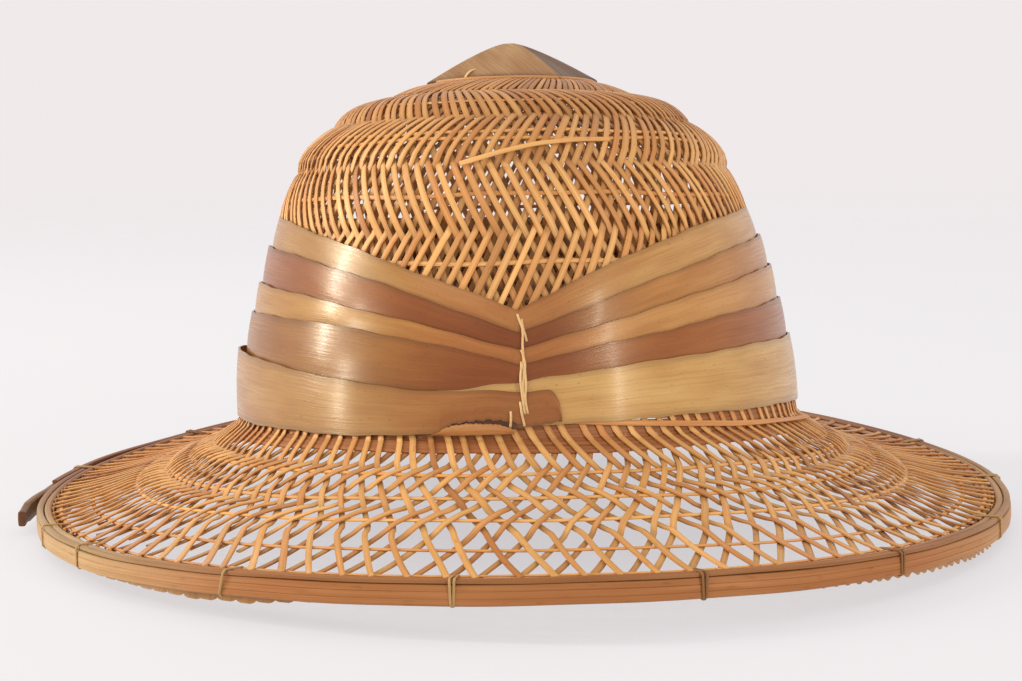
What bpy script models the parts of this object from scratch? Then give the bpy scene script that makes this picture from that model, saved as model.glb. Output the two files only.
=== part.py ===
# Sun helmet woven from split cane: a net crown and brim, a pleated leaf hatband,
# a bound cane rim and a folded leaf cap.
# Metres, +Z up, the front of the hat towards -Y. The origin is on the resting plane,
# under the middle of the hat. Angles round the hat are counted from the front towards +X.
import math

import bmesh
import bpy
from mathutils import Matrix, Vector

# Rim, measured to its outside; its line is the middle of the cane bundle
RIM_HALF_WIDTH = 0.1510
RIM_HALF_LENGTH = 0.1670
RIM_RISE = 0.0065
RIM_LEVEL_HALF = 0.0300
HOOP_HEIGHT = 0.0060
OUTER_HOOP_WIDTH = 0.0023
MIDDLE_HOOP_WIDTH = 0.0020
INNER_HOOP_WIDTH = 0.0016
INNER_HOOP_HEIGHT = 0.0044
HOOP_EDGE_ROUND = 0.0007
HEM_DROP = 0.0030
HEM_TOOTH = 0.0014
HEM_LEVEL_HALF = 0.0350

# The outer hoop goes once round and laps over its own start at the -X side
HOOP_START = math.radians(-102.0)
LAP_RISE_START = math.radians(236.0)
LAP_RISE_END = math.radians(252.0)
TAIL_START = math.radians(262.0)
TAIL_END = math.radians(282.0)
TAIL_SPREAD = 0.0042

# Crown, in its own upright frame: heights count from the rim line
NECK_HEIGHT = 0.0250
CROWN_HEIGHT = 0.1046
CROWN_HALF_WIDTH = 0.0875
CROWN_HALF_LENGTH = 0.1010
CROWN_LEAN = math.radians(4.75)
CROWN_OFFSET_X = -0.0018
SEAM_RISE = 0.0060
CROWN_MIDDLE_SHARES = (0.3, 0.65)

# Woven wall and the net that is cut through it
NET_WALL = 0.0014
NET_BAR = 0.0038
CROWN_NET_COLUMN_COUNT = 18
CROWN_NET_ROW_COUNT = 3
CROWN_NET_CUT_COUNT = 2
CROWN_NET_BOTTOM = 0.0180
CROWN_NET_TOP_RADIUS = 0.0330
BRIM_NET_COLUMN_COUNT = 32
BRIM_NET_ROW_COUNT = 2
BRIM_NET_CUT_COUNT = 1
BRIM_NET_INNER_SHARE = 0.07
BRIM_NET_OUTER_SHARE = 0.94
BRIM_CURVE_SHARE = 0.75

# Hatband
LEAF_WALL = 0.0010
BAND_GAP = 0.0006
BAND_STEP = 0.0019
BAND_OVERLAP = 0.0020
BAND_SEGMENTS = 48
BAND_END_ANGLE = math.radians(7.5)
BAND_TUCK_ANGLE = math.radians(-15.0)
BAND_END_RISE_START = math.radians(330.0)

# Leaf cap on the crown
CAP_HALF_DIAGONAL = 0.0300
CAP_RISE = 0.0112
CAP_TURN = math.radians(30.0)
CAP_EDGE_LIFT = 0.0010

# Rim lashings
TIE_WIDTH = 0.0013
TIE_WALL = 0.0005
TIE_FIRST = math.radians(-7.0)
TIE_PITCH = math.radians(24.0)
TIE_COUNT = 12
TIE_EXTRA_ANGLES = (math.radians(-68.0), math.radians(-55.0), math.radians(-31.0))

CLEARANCE = 0.0003
WELD_DISTANCE = 0.000001

# Steps to either side of a place at which a surface's slope is read
CROWN_PROBE = 0.002
BRIM_PROBE_SHARE = 0.01
PROBE_ANGLE = 0.01

# Side view of the crown from the neck to the top.
# height: share of CROWN_HEIGHT; width: share of CROWN_HALF_WIDTH and CROWN_HALF_LENGTH
CROWN_PROFILE = (
    {"height": 0.000, "width": 1.000},
    {"height": 0.191, "width": 0.962},
    {"height": 0.397, "width": 0.899},
    {"height": 0.555, "width": 0.843},
    {"height": 0.713, "width": 0.780},
    {"height": 0.774, "width": 0.750},
    {"height": 0.851, "width": 0.661},
    {"height": 0.908, "width": 0.583},
    {"height": 0.944, "width": 0.466},
    {"height": 0.985, "width": 0.307},
    {"height": 1.000, "width": 0.000},
)
PROFILE_STEPS = 12

# Edges between the strips of the hatband, from the lowest up, as shares of CROWN_HEIGHT
# above the neck: at the front, at 30 and 90 degrees to either side of it, and at the back.
# lift: how far the strip below the edge stands off at its top, as a share of BAND_STEP
BAND_EDGES = (
    {"minus_90": 0.016, "minus_30": 0.004, "front": 0.027, "plus_30": 0.044, "plus_90": 0.044,
     "back": 0.030, "lift": 0.0},
    {"minus_90": 0.214, "minus_30": 0.149, "front": 0.148, "plus_30": 0.197, "plus_90": 0.234,
     "back": 0.222, "lift": 1.0},
    {"minus_90": 0.323, "minus_30": 0.279, "front": 0.192, "plus_30": 0.272, "plus_90": 0.344,
     "back": 0.332, "lift": 1.0},
    {"minus_90": 0.410, "minus_30": 0.331, "front": 0.230, "plus_30": 0.340, "plus_90": 0.442,
     "back": 0.425, "lift": 1.0},
    {"minus_90": 0.516, "minus_30": 0.413, "front": 0.272, "plus_30": 0.412, "plus_90": 0.531,
     "back": 0.522, "lift": 1.0},
    {"minus_90": 0.605, "minus_30": 0.475, "front": 0.334, "plus_30": 0.500, "plus_90": 0.611,
     "back": 0.606, "lift": 0.3},
)

# Leaf and cane colours as red, green, blue in linear light
STRIP_COLOURS = (
    (0.62, 0.36, 0.14),
    (0.33, 0.15, 0.05),
    (0.50, 0.27, 0.10),
    (0.30, 0.13, 0.045),
    (0.45, 0.25, 0.10),
)
NET_COLOUR = (0.55, 0.27, 0.09)
HOOP_COLOUR = (0.33, 0.17, 0.07)
TIE_COLOUR = (0.50, 0.30, 0.13)
CAP_COLOUR = (0.30, 0.18, 0.09)

# Places worked out from the driving dimensions
RIM_LINE_HEIGHT = HEM_DROP + HOOP_HEIGHT / 2
MIDDLE_HOOP_INSET = OUTER_HOOP_WIDTH + CLEARANCE
HEM_INSET = MIDDLE_HOOP_INSET + MIDDLE_HOOP_WIDTH + CLEARANCE
INNER_HOOP_INSET = HEM_INSET + NET_WALL + CLEARANCE
LAP_STEP = OUTER_HOOP_WIDTH + CLEARANCE
RIM_SEGMENTS = 2 * BRIM_NET_COLUMN_COUNT
RIM_STEP = 2 * math.pi / RIM_SEGMENTS
HOOP_START_INDEX = round(HOOP_START / RIM_STEP)
HOOP_END_INDEX = round(TAIL_END / RIM_STEP)


def clamp_share(value, low, high):
    return min(1.0, max(0.0, (value - low) / (high - low)))


def blend(a, b, share):
    return a + (b - a) * share


def smooth(share):
    return share * share * (3 - 2 * share)


# Rim line and its hoops

def rim_rise(y):
    over = max(0.0, abs(y) - RIM_LEVEL_HALF) / (RIM_HALF_LENGTH - RIM_LEVEL_HALF)
    return RIM_RISE * over * over


def lap_inset(angle):
    # how far the outer hoop lies outside the rim where it passes over its own start
    lapped = LAP_STEP * smooth(clamp_share(angle, LAP_RISE_START, LAP_RISE_END))
    spread = TAIL_SPREAD * max(0.0, angle - TAIL_START) / (TAIL_END - TAIL_START)
    return -lapped - spread


def outside_inset(angle):
    # inset of the outermost face of the bundle, whichever turn of the outer hoop it is
    turned = angle % (2 * math.pi)
    return lap_inset(turned) if turned <= HOOP_END_INDEX * RIM_STEP else 0.0


def tail_reach():
    # half width of the rim at its -X side, out to the farthest point of the free end
    angles = [index * RIM_STEP for index in range(HOOP_START_INDEX, HOOP_END_INDEX + 1)]
    return max(-(RIM_HALF_WIDTH - lap_inset(angle)) * math.sin(angle) for angle in angles)


RIM_CENTRE_X = (tail_reach() - RIM_HALF_WIDTH) / 2


def rim_point(angle, inset, height):
    x = RIM_CENTRE_X + (RIM_HALF_WIDTH - inset) * math.sin(angle)
    y = -(RIM_HALF_LENGTH - inset) * math.cos(angle)
    return Vector((x, y, RIM_LINE_HEIGHT + rim_rise(y) + height))


# Crown surface in the crown's own frame

def smooth_profile():
    rows = [(row["width"], row["height"]) for row in CROWN_PROFILE]
    padded = [rows[0]] + rows + [(-rows[-2][0], rows[-2][1])]
    curve = []
    for index in range(1, len(padded) - 2):
        before, start, end, after = padded[index - 1:index + 3]
        for step in range(PROFILE_STEPS):
            t = step / PROFILE_STEPS
            point = []
            for axis in range(2):
                tangent_in = (end[axis] - before[axis]) / 2
                tangent_out = (after[axis] - start[axis]) / 2
                value = (2 * t**3 - 3 * t**2 + 1) * start[axis] + (t**3 - 2 * t**2 + t) * tangent_in
                value += (3 * t**2 - 2 * t**3) * end[axis] + (t**3 - t**2) * tangent_out
                point.append(value)
            curve.append(point)
    curve.append(rows[-1])
    return [(width * CROWN_HALF_WIDTH, height * CROWN_HEIGHT) for width, height in curve]


CROWN_CURVE = smooth_profile()


def curve_lengths(curve):
    lengths = [0.0]
    for (w0, h0), (w1, h1) in zip(curve, curve[1:]):
        lengths.append(lengths[-1] + math.hypot(w1 - w0, h1 - h0))
    return lengths


CROWN_LENGTHS = curve_lengths(CROWN_CURVE)


def interpolate(value, inputs, outputs):
    for index in range(1, len(inputs)):
        if value <= inputs[index] or index == len(inputs) - 1:
            share = (value - inputs[index - 1]) / (inputs[index] - inputs[index - 1])
            return blend(outputs[index - 1], outputs[index], share)
    return outputs[-1]


def length_at_height(height):
    return interpolate(height, [point[1] for point in CROWN_CURVE], CROWN_LENGTHS)


def length_at_width(width):
    widths = [-point[0] for point in CROWN_CURVE]
    return interpolate(-width, widths, CROWN_LENGTHS)


def width_at_height(height):
    return interpolate(height, [point[1] for point in CROWN_CURVE], [point[0] for point in CROWN_CURVE])


def crown_ring_point(angle, width, height, outward=0.0):
    length = width * CROWN_HALF_LENGTH / CROWN_HALF_WIDTH
    x = (width + outward) * math.sin(angle)
    y = -(length + outward) * math.cos(angle)
    return Vector((x, y, NECK_HEIGHT + height))


def crown_point(angle, along):
    width = interpolate(along, CROWN_LENGTHS, [point[0] for point in CROWN_CURVE])
    height = interpolate(along, CROWN_LENGTHS, [point[1] for point in CROWN_CURVE])
    return crown_ring_point(angle, width, height)


def crown_matrix():
    lean = Matrix.Rotation(-CROWN_LEAN, 4, "X")
    place = Matrix.Translation((RIM_CENTRE_X + CROWN_OFFSET_X, 0, RIM_LINE_HEIGHT))
    return place @ lean


CROWN_MATRIX = crown_matrix()


# Brim surface: across is 0 at the neck and 1 where the weave turns down into the rim

def brim_point(angle, across):
    neck = CROWN_MATRIX @ crown_ring_point(angle, CROWN_HALF_WIDTH, 0)
    edge = rim_point(angle, HEM_INSET, HOOP_HEIGHT / 2)
    point = neck.lerp(edge, across)
    fall = blend(across, 1 - (1 - across) ** 2, BRIM_CURVE_SHARE)
    point.z = blend(neck.z, edge.z, fall)
    return point


def surface_normal(surface, angle, along, probe):
    ahead = surface(angle, along + probe) - surface(angle, along - probe)
    aside = surface(angle + PROBE_ANGLE, along) - surface(angle - PROBE_ANGLE, along)
    return aside.cross(ahead).normalized()


def wall_pair(surface, angle, along, probe, side):
    # the two skins of the wall at one place, the outer one first
    outer = surface(angle, along)
    normal = surface_normal(surface, angle, along, probe) * side
    return outer, outer - normal * NET_WALL


# Net: rows of tall diamond gaps that stand half a gap apart

def plane_mix(a, b, share):
    return (blend(a[0], b[0], share), blend(a[1], b[1], share))


def open_share(surface, centre, half_angle, half_length):
    angle, along = centre
    half_wide = (surface(angle + half_angle, along) - surface(angle - half_angle, along)).length / 2
    half_tall = (surface(angle, along + half_length) - surface(angle, along - half_length)).length / 2
    reach = half_wide * half_tall / math.hypot(half_wide, half_tall)
    return 1 - NET_BAR / 2 / reach


def net_cell(surface, centre, half_angle, half_length, cuts):
    angle, along = centre
    corners = (
        (angle - half_angle, along),
        (angle, along + half_length),
        (angle + half_angle, along),
        (angle, along - half_length),
    )
    share = open_share(surface, centre, half_angle, half_length)
    hole = [plane_mix(centre, corner, share) for corner in corners]
    faces = []
    edges = []
    for side in range(4):
        for cut in range(cuts):
            start = cut / cuts
            end = (cut + 1) / cuts
            outer_start = plane_mix(corners[side - 1], corners[side], start)
            outer_end = plane_mix(corners[side - 1], corners[side], end)
            hole_start = plane_mix(hole[side - 1], hole[side], start)
            hole_end = plane_mix(hole[side - 1], hole[side], end)
            faces.append((outer_start, outer_end, hole_end, hole_start))
            edges.append((hole_start, hole_end))
    return faces, edges


def net_border(apex, base, half_angle, cuts):
    # the solid triangle between two gaps of the first or last row
    faces = []
    for cut in range(cuts):
        start = cut / cuts
        end = (cut + 1) / cuts
        for side in (-1, 1):
            corner = (apex[0] + side * half_angle, base)
            foot = (apex[0], base)
            slant = plane_mix(corner, apex, start), plane_mix(corner, apex, end)
            middle = plane_mix(foot, apex, start), plane_mix(foot, apex, end)
            face = [slant[0], middle[0], middle[1]]
            if cut < cuts - 1:
                face.append(slant[1])
            faces.append(face)
    return faces


def net_field(surface, columns, rows, low, high, cuts):
    half_angle = math.pi / columns
    half_length = (high - low) / (rows + 1)
    faces = []
    edges = []
    for row in range(1, rows + 1):
        for column in range(columns):
            centre = ((2 * column + row % 2) * half_angle, low + row * half_length)
            cell_faces, cell_edges = net_cell(surface, centre, half_angle, half_length, cuts)
            faces += cell_faces
            edges += cell_edges
    for column in range(columns):
        low_apex = (2 * column * half_angle, low + half_length)
        high_apex = ((2 * column + rows % 2 - 1) * half_angle, high - half_length)
        faces += net_border(low_apex, low, half_angle, cuts)
        faces += net_border(high_apex, high, half_angle, cuts)
    return faces, edges


def net_wall_faces(pair, faces, edges):
    polygons = []
    for face in faces:
        pairs = [pair(angle, along) for angle, along in face]
        polygons.append([outer for outer, inner in pairs])
        polygons.append([inner for outer, inner in reversed(pairs)])
    for start, end in edges:
        outer_start, inner_start = pair(*start)
        outer_end, inner_end = pair(*end)
        polygons.append([outer_start, outer_end, inner_end, inner_start])
    return polygons


def ring_rows(rows, segments):
    # rows: functions that give the pair of skins at an angle; joins each row to the next
    polygons = []
    step = 2 * math.pi / segments
    rings = [[row(index * step) for index in range(segments)] for row in rows]
    for ring, following in zip(rings, rings[1:]):
        for index in range(segments):
            after = (index + 1) % segments
            for skin in range(2):
                polygons.append([
                    ring[index][skin],
                    ring[after][skin],
                    following[after][skin],
                    following[index][skin],
                ])
    return polygons


def close_edge(row, segments):
    step = 2 * math.pi / segments
    ring = [row(index * step) for index in range(segments)]
    polygons = []
    for index in range(segments):
        after = (index + 1) % segments
        polygons.append([ring[index][0], ring[after][0], ring[after][1], ring[index][1]])
    return polygons


# Turning lists of faces into objects

def make_material(name, colour, roughness):
    material = bpy.data.materials.new(name)
    material.use_nodes = True
    shader = material.node_tree.nodes["Principled BSDF"]
    shader.inputs["Base Color"].default_value = (*colour, 1.0)
    shader.inputs["Roughness"].default_value = roughness
    shader.inputs["Metallic"].default_value = 0.0
    return material


def make_object(name, polygons, colour, roughness, parent):
    shape = bmesh.new()
    for polygon in polygons:
        shape.faces.new([shape.verts.new(point) for point in polygon])
    bmesh.ops.remove_doubles(shape, verts=shape.verts, dist=WELD_DISTANCE)
    bmesh.ops.dissolve_degenerate(shape, edges=shape.edges, dist=WELD_DISTANCE)
    bmesh.ops.triangulate(shape, faces=shape.faces)
    bmesh.ops.recalc_face_normals(shape, faces=shape.faces)
    mesh = bpy.data.meshes.new(name)
    shape.to_mesh(mesh)
    shape.free()
    mesh.shade_smooth()
    mesh.set_sharp_from_angle(angle=math.radians(35))
    mesh.materials.append(make_material(name, colour, roughness))
    piece = bpy.data.objects.new(name, mesh)
    piece.parent = parent
    bpy.context.collection.objects.link(piece)
    return piece


def make_empty(name, matrix):
    empty = bpy.data.objects.new(name, None)
    empty.matrix_world = matrix
    bpy.context.collection.objects.link(empty)
    return empty


# Crown

def crown_pair(angle, along):
    return wall_pair(crown_point, angle, along, CROWN_PROBE, 1)


def crown_row(along):
    return lambda angle: crown_pair(angle, along)


def build_crown(parent):
    seam = length_at_height(SEAM_RISE + CLEARANCE)
    low = length_at_height(CROWN_NET_BOTTOM)
    high = length_at_width(CROWN_NET_TOP_RADIUS)
    top = CROWN_LENGTHS[-1]
    segments = 2 * CROWN_NET_COLUMN_COUNT
    faces, edges = net_field(
        crown_point, CROWN_NET_COLUMN_COUNT, CROWN_NET_ROW_COUNT, low, high, CROWN_NET_CUT_COUNT)
    polygons = net_wall_faces(crown_pair, faces, edges)

    # the seam edge is cut square to the crown's axis
    def seam_row(angle):
        outer, inner = crown_pair(angle, seam)
        return outer, Vector((inner.x, inner.y, outer.z))

    polygons += ring_rows([seam_row, crown_row(low)], segments)
    polygons += close_edge(seam_row, segments)

    # the closed middle of the top
    places = [high] + [blend(high, top, share) for share in CROWN_MIDDLE_SHARES]
    polygons += ring_rows([crown_row(place) for place in places], segments)
    last = places[-1]
    peak = Vector((0, 0, NECK_HEIGHT + CROWN_HEIGHT))
    step = 2 * math.pi / segments
    for index in range(segments):
        here = crown_pair(index * step, last)
        after = crown_pair((index + 1) % segments * step, last)
        polygons.append([here[0], after[0], peak])
        polygons.append([here[1], after[1], peak - Vector((0, 0, NET_WALL))])
    return make_object("woven_crown", polygons, NET_COLOUR, 0.55, parent)


# Brim

def brim_pair(angle, across):
    # the brim is measured outwards and down, so its upper skin is on the other side
    return wall_pair(brim_point, angle, across, BRIM_PROBE_SHARE, -1)


def brim_row(across):
    return lambda angle: brim_pair(angle, across)


def build_brim(parent):
    # the short upright collar that the crown stands on, hidden by the hatband
    def collar_row(angle):
        width = width_at_height(SEAM_RISE)
        outer = CROWN_MATRIX @ crown_ring_point(angle, width, SEAM_RISE)
        inner = CROWN_MATRIX @ crown_ring_point(angle, width, SEAM_RISE, -NET_WALL)
        return outer, inner

    def neck_row(angle):
        outer = CROWN_MATRIX @ crown_ring_point(angle, CROWN_HALF_WIDTH, 0)
        inner = CROWN_MATRIX @ crown_ring_point(angle, CROWN_HALF_WIDTH, -NET_WALL / 2, -NET_WALL)
        return outer, inner

    # the weave turns down between the middle and the inner hoop
    def turn_row(angle):
        outer = rim_point(angle, HEM_INSET, HOOP_HEIGHT / 2)
        inner = rim_point(angle, HEM_INSET + NET_WALL, HOOP_HEIGHT / 2 - NET_WALL)
        return outer, inner

    # its cut ends stand below the hoops as small teeth, level where the hat rests
    def hem_row(angle):
        index = round(angle / RIM_STEP)
        outer = rim_point(angle, HEM_INSET, -HOOP_HEIGHT / 2 - HEM_DROP)
        inner = rim_point(angle, HEM_INSET + NET_WALL, -HOOP_HEIGHT / 2 - HEM_DROP)
        raised = HEM_TOOTH if index % 2 and abs(outer.y) > HEM_LEVEL_HALF else 0.0
        inner.z = outer.z
        lift = Vector((0, 0, raised))
        return outer + lift, inner + lift

    faces, edges = net_field(
        brim_point, BRIM_NET_COLUMN_COUNT, BRIM_NET_ROW_COUNT,
        BRIM_NET_INNER_SHARE, BRIM_NET_OUTER_SHARE, BRIM_NET_CUT_COUNT)
    polygons = net_wall_faces(brim_pair, faces, edges)
    polygons += ring_rows([collar_row, neck_row, brim_row(BRIM_NET_INNER_SHARE)], RIM_SEGMENTS)
    polygons += close_edge(collar_row, RIM_SEGMENTS)
    polygons += ring_rows([brim_row(BRIM_NET_OUTER_SHARE), turn_row, hem_row], RIM_SEGMENTS)
    polygons += close_edge(hem_row, RIM_SEGMENTS)
    return make_object("woven_brim", polygons, NET_COLOUR, 0.55, parent)


# Hatband

def band_edge_height(edge, angle):
    row = BAND_EDGES[edge]
    name = "plus" if math.sin(angle) >= 0 else "minus"
    side = row[name + "_90"]
    aside = abs(math.sin(angle))
    if math.cos(angle) >= 0:
        # one smooth curve through the front and the places at 30 and 90 degrees
        bend = 2 * (side + row["front"] - 2 * row[name + "_30"])
        share = row["front"] + (side - row["front"] - bend) * aside + bend * aside * aside
    else:
        share = blend(row["back"], side, aside * aside)
    return share * CROWN_HEIGHT


def strip_section(strip, angle, outward):
    # the four corners of the strip's wall: bottom inner, bottom outer, top outer, top inner
    bottom = band_edge_height(strip, angle)
    if strip > 0:
        bottom -= BAND_OVERLAP
    top = band_edge_height(strip + 1, angle)
    low = BAND_GAP + outward
    high = low + BAND_STEP * BAND_EDGES[strip + 1]["lift"]
    corners = []
    for height, offset in ((bottom, low), (bottom, low + LEAF_WALL), (top, high + LEAF_WALL), (top, high)):
        corners.append(crown_ring_point(angle, width_at_height(height), height, offset))
    return corners


def sweep(sections, closed):
    # joins the corner loops one after another; an open sweep gets flat ends
    polygons = []
    count = len(sections)
    for index in range(count if closed else count - 1):
        here = sections[index]
        after = sections[(index + 1) % count]
        for corner in range(len(here)):
            following = (corner + 1) % len(here)
            polygons.append([here[corner], after[corner], after[following], here[following]])
    if not closed:
        polygons.append(list(reversed(sections[0])))
        polygons.append(list(sections[-1]))
    return polygons


def build_strip(strip, parent):
    if strip > 0:
        step = 2 * math.pi / BAND_SEGMENTS
        sections = [strip_section(strip, index * step, 0.0) for index in range(BAND_SEGMENTS)]
        polygons = sweep(sections, True)
    else:
        # the lowest strip starts behind the front and ends over its own start
        span = 2 * math.pi + BAND_END_ANGLE - BAND_TUCK_ANGLE
        count = round(BAND_SEGMENTS * span / (2 * math.pi))
        sections = []
        for index in range(count + 1):
            angle = BAND_TUCK_ANGLE + span * index / count
            over = smooth(clamp_share(angle, BAND_END_RISE_START, 2 * math.pi + BAND_TUCK_ANGLE))
            sections.append(strip_section(strip, angle, over * (LEAF_WALL + 2 * CLEARANCE)))
        polygons = sweep(sections, False)
    return make_object(f"band_strip_{strip + 1}", polygons, STRIP_COLOURS[strip], 0.35, parent)


# Rim hoops and their lashings

def hoop_section(angle, inset, width, low, high, edge):
    # a flat splint with its outer corners rounded off
    return [
        rim_point(angle, inset + width, low),
        rim_point(angle, inset + edge, low),
        rim_point(angle, inset, low + edge),
        rim_point(angle, inset, high - edge),
        rim_point(angle, inset + edge, high),
        rim_point(angle, inset + width, high),
    ]


def plain_section(angle, inset, width, low, high):
    return [
        rim_point(angle, inset + width, low),
        rim_point(angle, inset, low),
        rim_point(angle, inset, high),
        rim_point(angle, inset + width, high),
    ]


def build_hoops(parent):
    half = HOOP_HEIGHT / 2
    sections = []
    for index in range(HOOP_START_INDEX, HOOP_END_INDEX + 1):
        angle = index * RIM_STEP
        inset = lap_inset(angle)
        sections.append(hoop_section(angle, inset, OUTER_HOOP_WIDTH, -half, half, HOOP_EDGE_ROUND))
    make_object("rim_hoop_outer", sweep(sections, False), HOOP_COLOUR, 0.5, parent)

    angles = [index * RIM_STEP for index in range(RIM_SEGMENTS)]
    sections = [plain_section(angle, MIDDLE_HOOP_INSET, MIDDLE_HOOP_WIDTH, -half, half) for angle in angles]
    make_object("rim_hoop_middle", sweep(sections, True), HOOP_COLOUR, 0.5, parent)

    # the inner hoop lies in the corner under the turn of the weave
    high = half - NET_WALL - 2 * CLEARANCE
    low = high - INNER_HOOP_HEIGHT
    sections = [plain_section(angle, INNER_HOOP_INSET, INNER_HOOP_WIDTH, low, high) for angle in angles]
    make_object("rim_hoop_inner", sweep(sections, True), HOOP_COLOUR, 0.5, parent)


def tie_outline(inset, spare):
    # half loop round the two outer hoops, from the weave over the top, outside and under
    half = HOOP_HEIGHT / 2 + spare
    end = HEM_INSET - CLEARANCE
    face = inset - spare
    return (
        (end, half),
        (inset + HOOP_EDGE_ROUND, half),
        (face, half - HOOP_EDGE_ROUND - spare),
        (face, HOOP_EDGE_ROUND + spare - half),
        (inset + HOOP_EDGE_ROUND, -half),
        (end, -half),
    )


def build_tie(number, angle, parent):
    inset = outside_inset(angle)
    near = tie_outline(inset, CLEARANCE)
    far = tie_outline(inset, CLEARANCE + TIE_WALL)
    half_angle = TIE_WIDTH / 2 / RIM_HALF_LENGTH
    sections = []
    for inner, outer in zip(near, far):
        sections.append([
            rim_point(angle - half_angle, *inner),
            rim_point(angle + half_angle, *inner),
            rim_point(angle + half_angle, *outer),
            rim_point(angle - half_angle, *outer),
        ])
    make_object(f"rim_tie_{number}", sweep(sections, False), TIE_COLOUR, 0.6, parent)


def build_ties(parent):
    angles = [TIE_FIRST + TIE_PITCH * index for index in range(TIE_COUNT)]
    angles += list(TIE_EXTRA_ANGLES)
    for index, angle in enumerate(angles):
        build_tie(index + 1, angle, parent)


# Leaf cap

def crown_top_height(x, y):
    # height of the crown under a place near its middle, in the crown's own frame
    width = math.hypot(x, y * CROWN_HALF_WIDTH / CROWN_HALF_LENGTH)
    along = length_at_width(width)
    return crown_point(0.0, along).z


def build_cap(parent):
    # a square leaf folded to a low pyramid, its corners bent down to the weave
    bottom = []
    for index in range(8):
        angle = CAP_TURN + index * math.pi / 4
        at_corner = index % 2 == 0
        reach = CAP_HALF_DIAGONAL if at_corner else CAP_HALF_DIAGONAL * math.cos(math.pi / 4)
        x = reach * math.cos(angle)
        y = reach * math.sin(angle)
        lift = CLEARANCE if at_corner else CLEARANCE + CAP_EDGE_LIFT
        bottom.append(Vector((x, y, crown_top_height(x, y) + lift)))
    peak_height = NECK_HEIGHT + CROWN_HEIGHT + CAP_RISE
    wall = Vector((0, 0, LEAF_WALL))
    outer_peak = Vector((0, 0, peak_height))
    inner_peak = outer_peak - wall
    polygons = []
    for index, here in enumerate(bottom):
        after = bottom[(index + 1) % len(bottom)]
        polygons.append([here, after, inner_peak])
        polygons.append([here + wall, after + wall, outer_peak])
        polygons.append([here, after, after + wall, here + wall])
    return make_object("crown_cap", polygons, CAP_COLOUR, 0.6, parent)


def clear_scene():
    for item in list(bpy.data.objects):
        bpy.data.objects.remove(item, do_unlink=True)


def build_hat():
    clear_scene()
    hat = make_empty("hat", Matrix.Identity(4))
    crown_axis = make_empty("crown_axis", CROWN_MATRIX)
    build_crown(crown_axis)
    build_cap(crown_axis)
    for strip in range(len(BAND_EDGES) - 1):
        build_strip(strip, crown_axis)
    build_brim(hat)
    build_hoops(hat)
    build_ties(hat)


build_hat()
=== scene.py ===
# Looks of a sun helmet woven from split cane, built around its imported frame.
import math
import random

import bmesh
import bpy
import numpy as np
from mathutils import Matrix, Vector


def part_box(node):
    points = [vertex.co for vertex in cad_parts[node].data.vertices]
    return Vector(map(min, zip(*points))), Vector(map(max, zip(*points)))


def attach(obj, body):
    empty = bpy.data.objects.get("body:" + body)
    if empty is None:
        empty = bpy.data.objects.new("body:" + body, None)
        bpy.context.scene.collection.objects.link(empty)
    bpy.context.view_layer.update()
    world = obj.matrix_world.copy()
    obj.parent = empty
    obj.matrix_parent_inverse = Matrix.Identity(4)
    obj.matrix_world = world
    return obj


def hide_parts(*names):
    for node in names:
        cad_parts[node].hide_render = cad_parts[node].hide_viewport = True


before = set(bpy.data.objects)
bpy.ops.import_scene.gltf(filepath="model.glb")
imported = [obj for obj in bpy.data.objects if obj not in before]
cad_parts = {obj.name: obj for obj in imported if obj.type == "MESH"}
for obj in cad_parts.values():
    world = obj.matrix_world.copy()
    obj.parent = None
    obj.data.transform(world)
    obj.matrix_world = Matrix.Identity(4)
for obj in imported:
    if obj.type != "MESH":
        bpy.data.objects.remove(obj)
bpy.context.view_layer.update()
print("frame loaded,", len(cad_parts), "nodes")

fullTurn = 2 * math.pi


def blend(a, b, share):
    return a + (b - a) * share


def ease(value, low, high):
    # 0 at low, 1 at high, smooth in between
    share = np.clip((value - low) / (high - low), 0.0, 1.0)
    return share * share * (3 - 2 * share)


def degreesFrom(angle, middle=0.0):
    # how far an angle in radians lies from the middle, in degrees from -180 to 180
    return (np.degrees(angle) - middle + 180) % 360 - 180


def paint(red, green, blue):
    # screen values from 0 to 255, turned into linear light
    values = [channel / 255 for channel in (red, green, blue)]
    linear = [v / 12.92 if v <= 0.04045 else ((v + 0.055) / 1.055) ** 2.4 for v in values]
    return np.array(linear)


def sideTints(angles, colours, fades, backMiddle=0):
    # the front's colour turns into those of the left, the right and the back
    turned = degreesFrom(angles)
    tints = np.broadcast_to(colours["front"], (len(angles), 3))
    places = {"left": -turned, "right": turned, "behind": np.abs(turned - backMiddle)}
    for part, place in places.items():
        tints = tints + (colours[part] - tints) * ease(place, *fades[part])[:, None]
    return tints


# shader maths and nodes

class Wire:
    # a node's output that takes part in Python maths
    def __init__(self, tree, socket):
        self.tree = tree
        self.socket = socket

    def worked(self, operation, first, second):
        node = self.tree.nodes.new("ShaderNodeMath")
        node.operation = operation
        for place, value in enumerate((first, second)):
            if isinstance(value, Wire):
                self.tree.links.new(value.socket, node.inputs[place])
            else:
                node.inputs[place].default_value = value
        return Wire(self.tree, node.outputs[0])

    def __add__(self, other):
        return self.worked("ADD", self, other)

    def __radd__(self, other):
        return self.worked("ADD", other, self)

    def __sub__(self, other):
        return self.worked("SUBTRACT", self, other)

    def __rsub__(self, other):
        return self.worked("SUBTRACT", other, self)

    def __mul__(self, other):
        return self.worked("MULTIPLY", self, other)

    def __rmul__(self, other):
        return self.worked("MULTIPLY", other, self)


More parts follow.
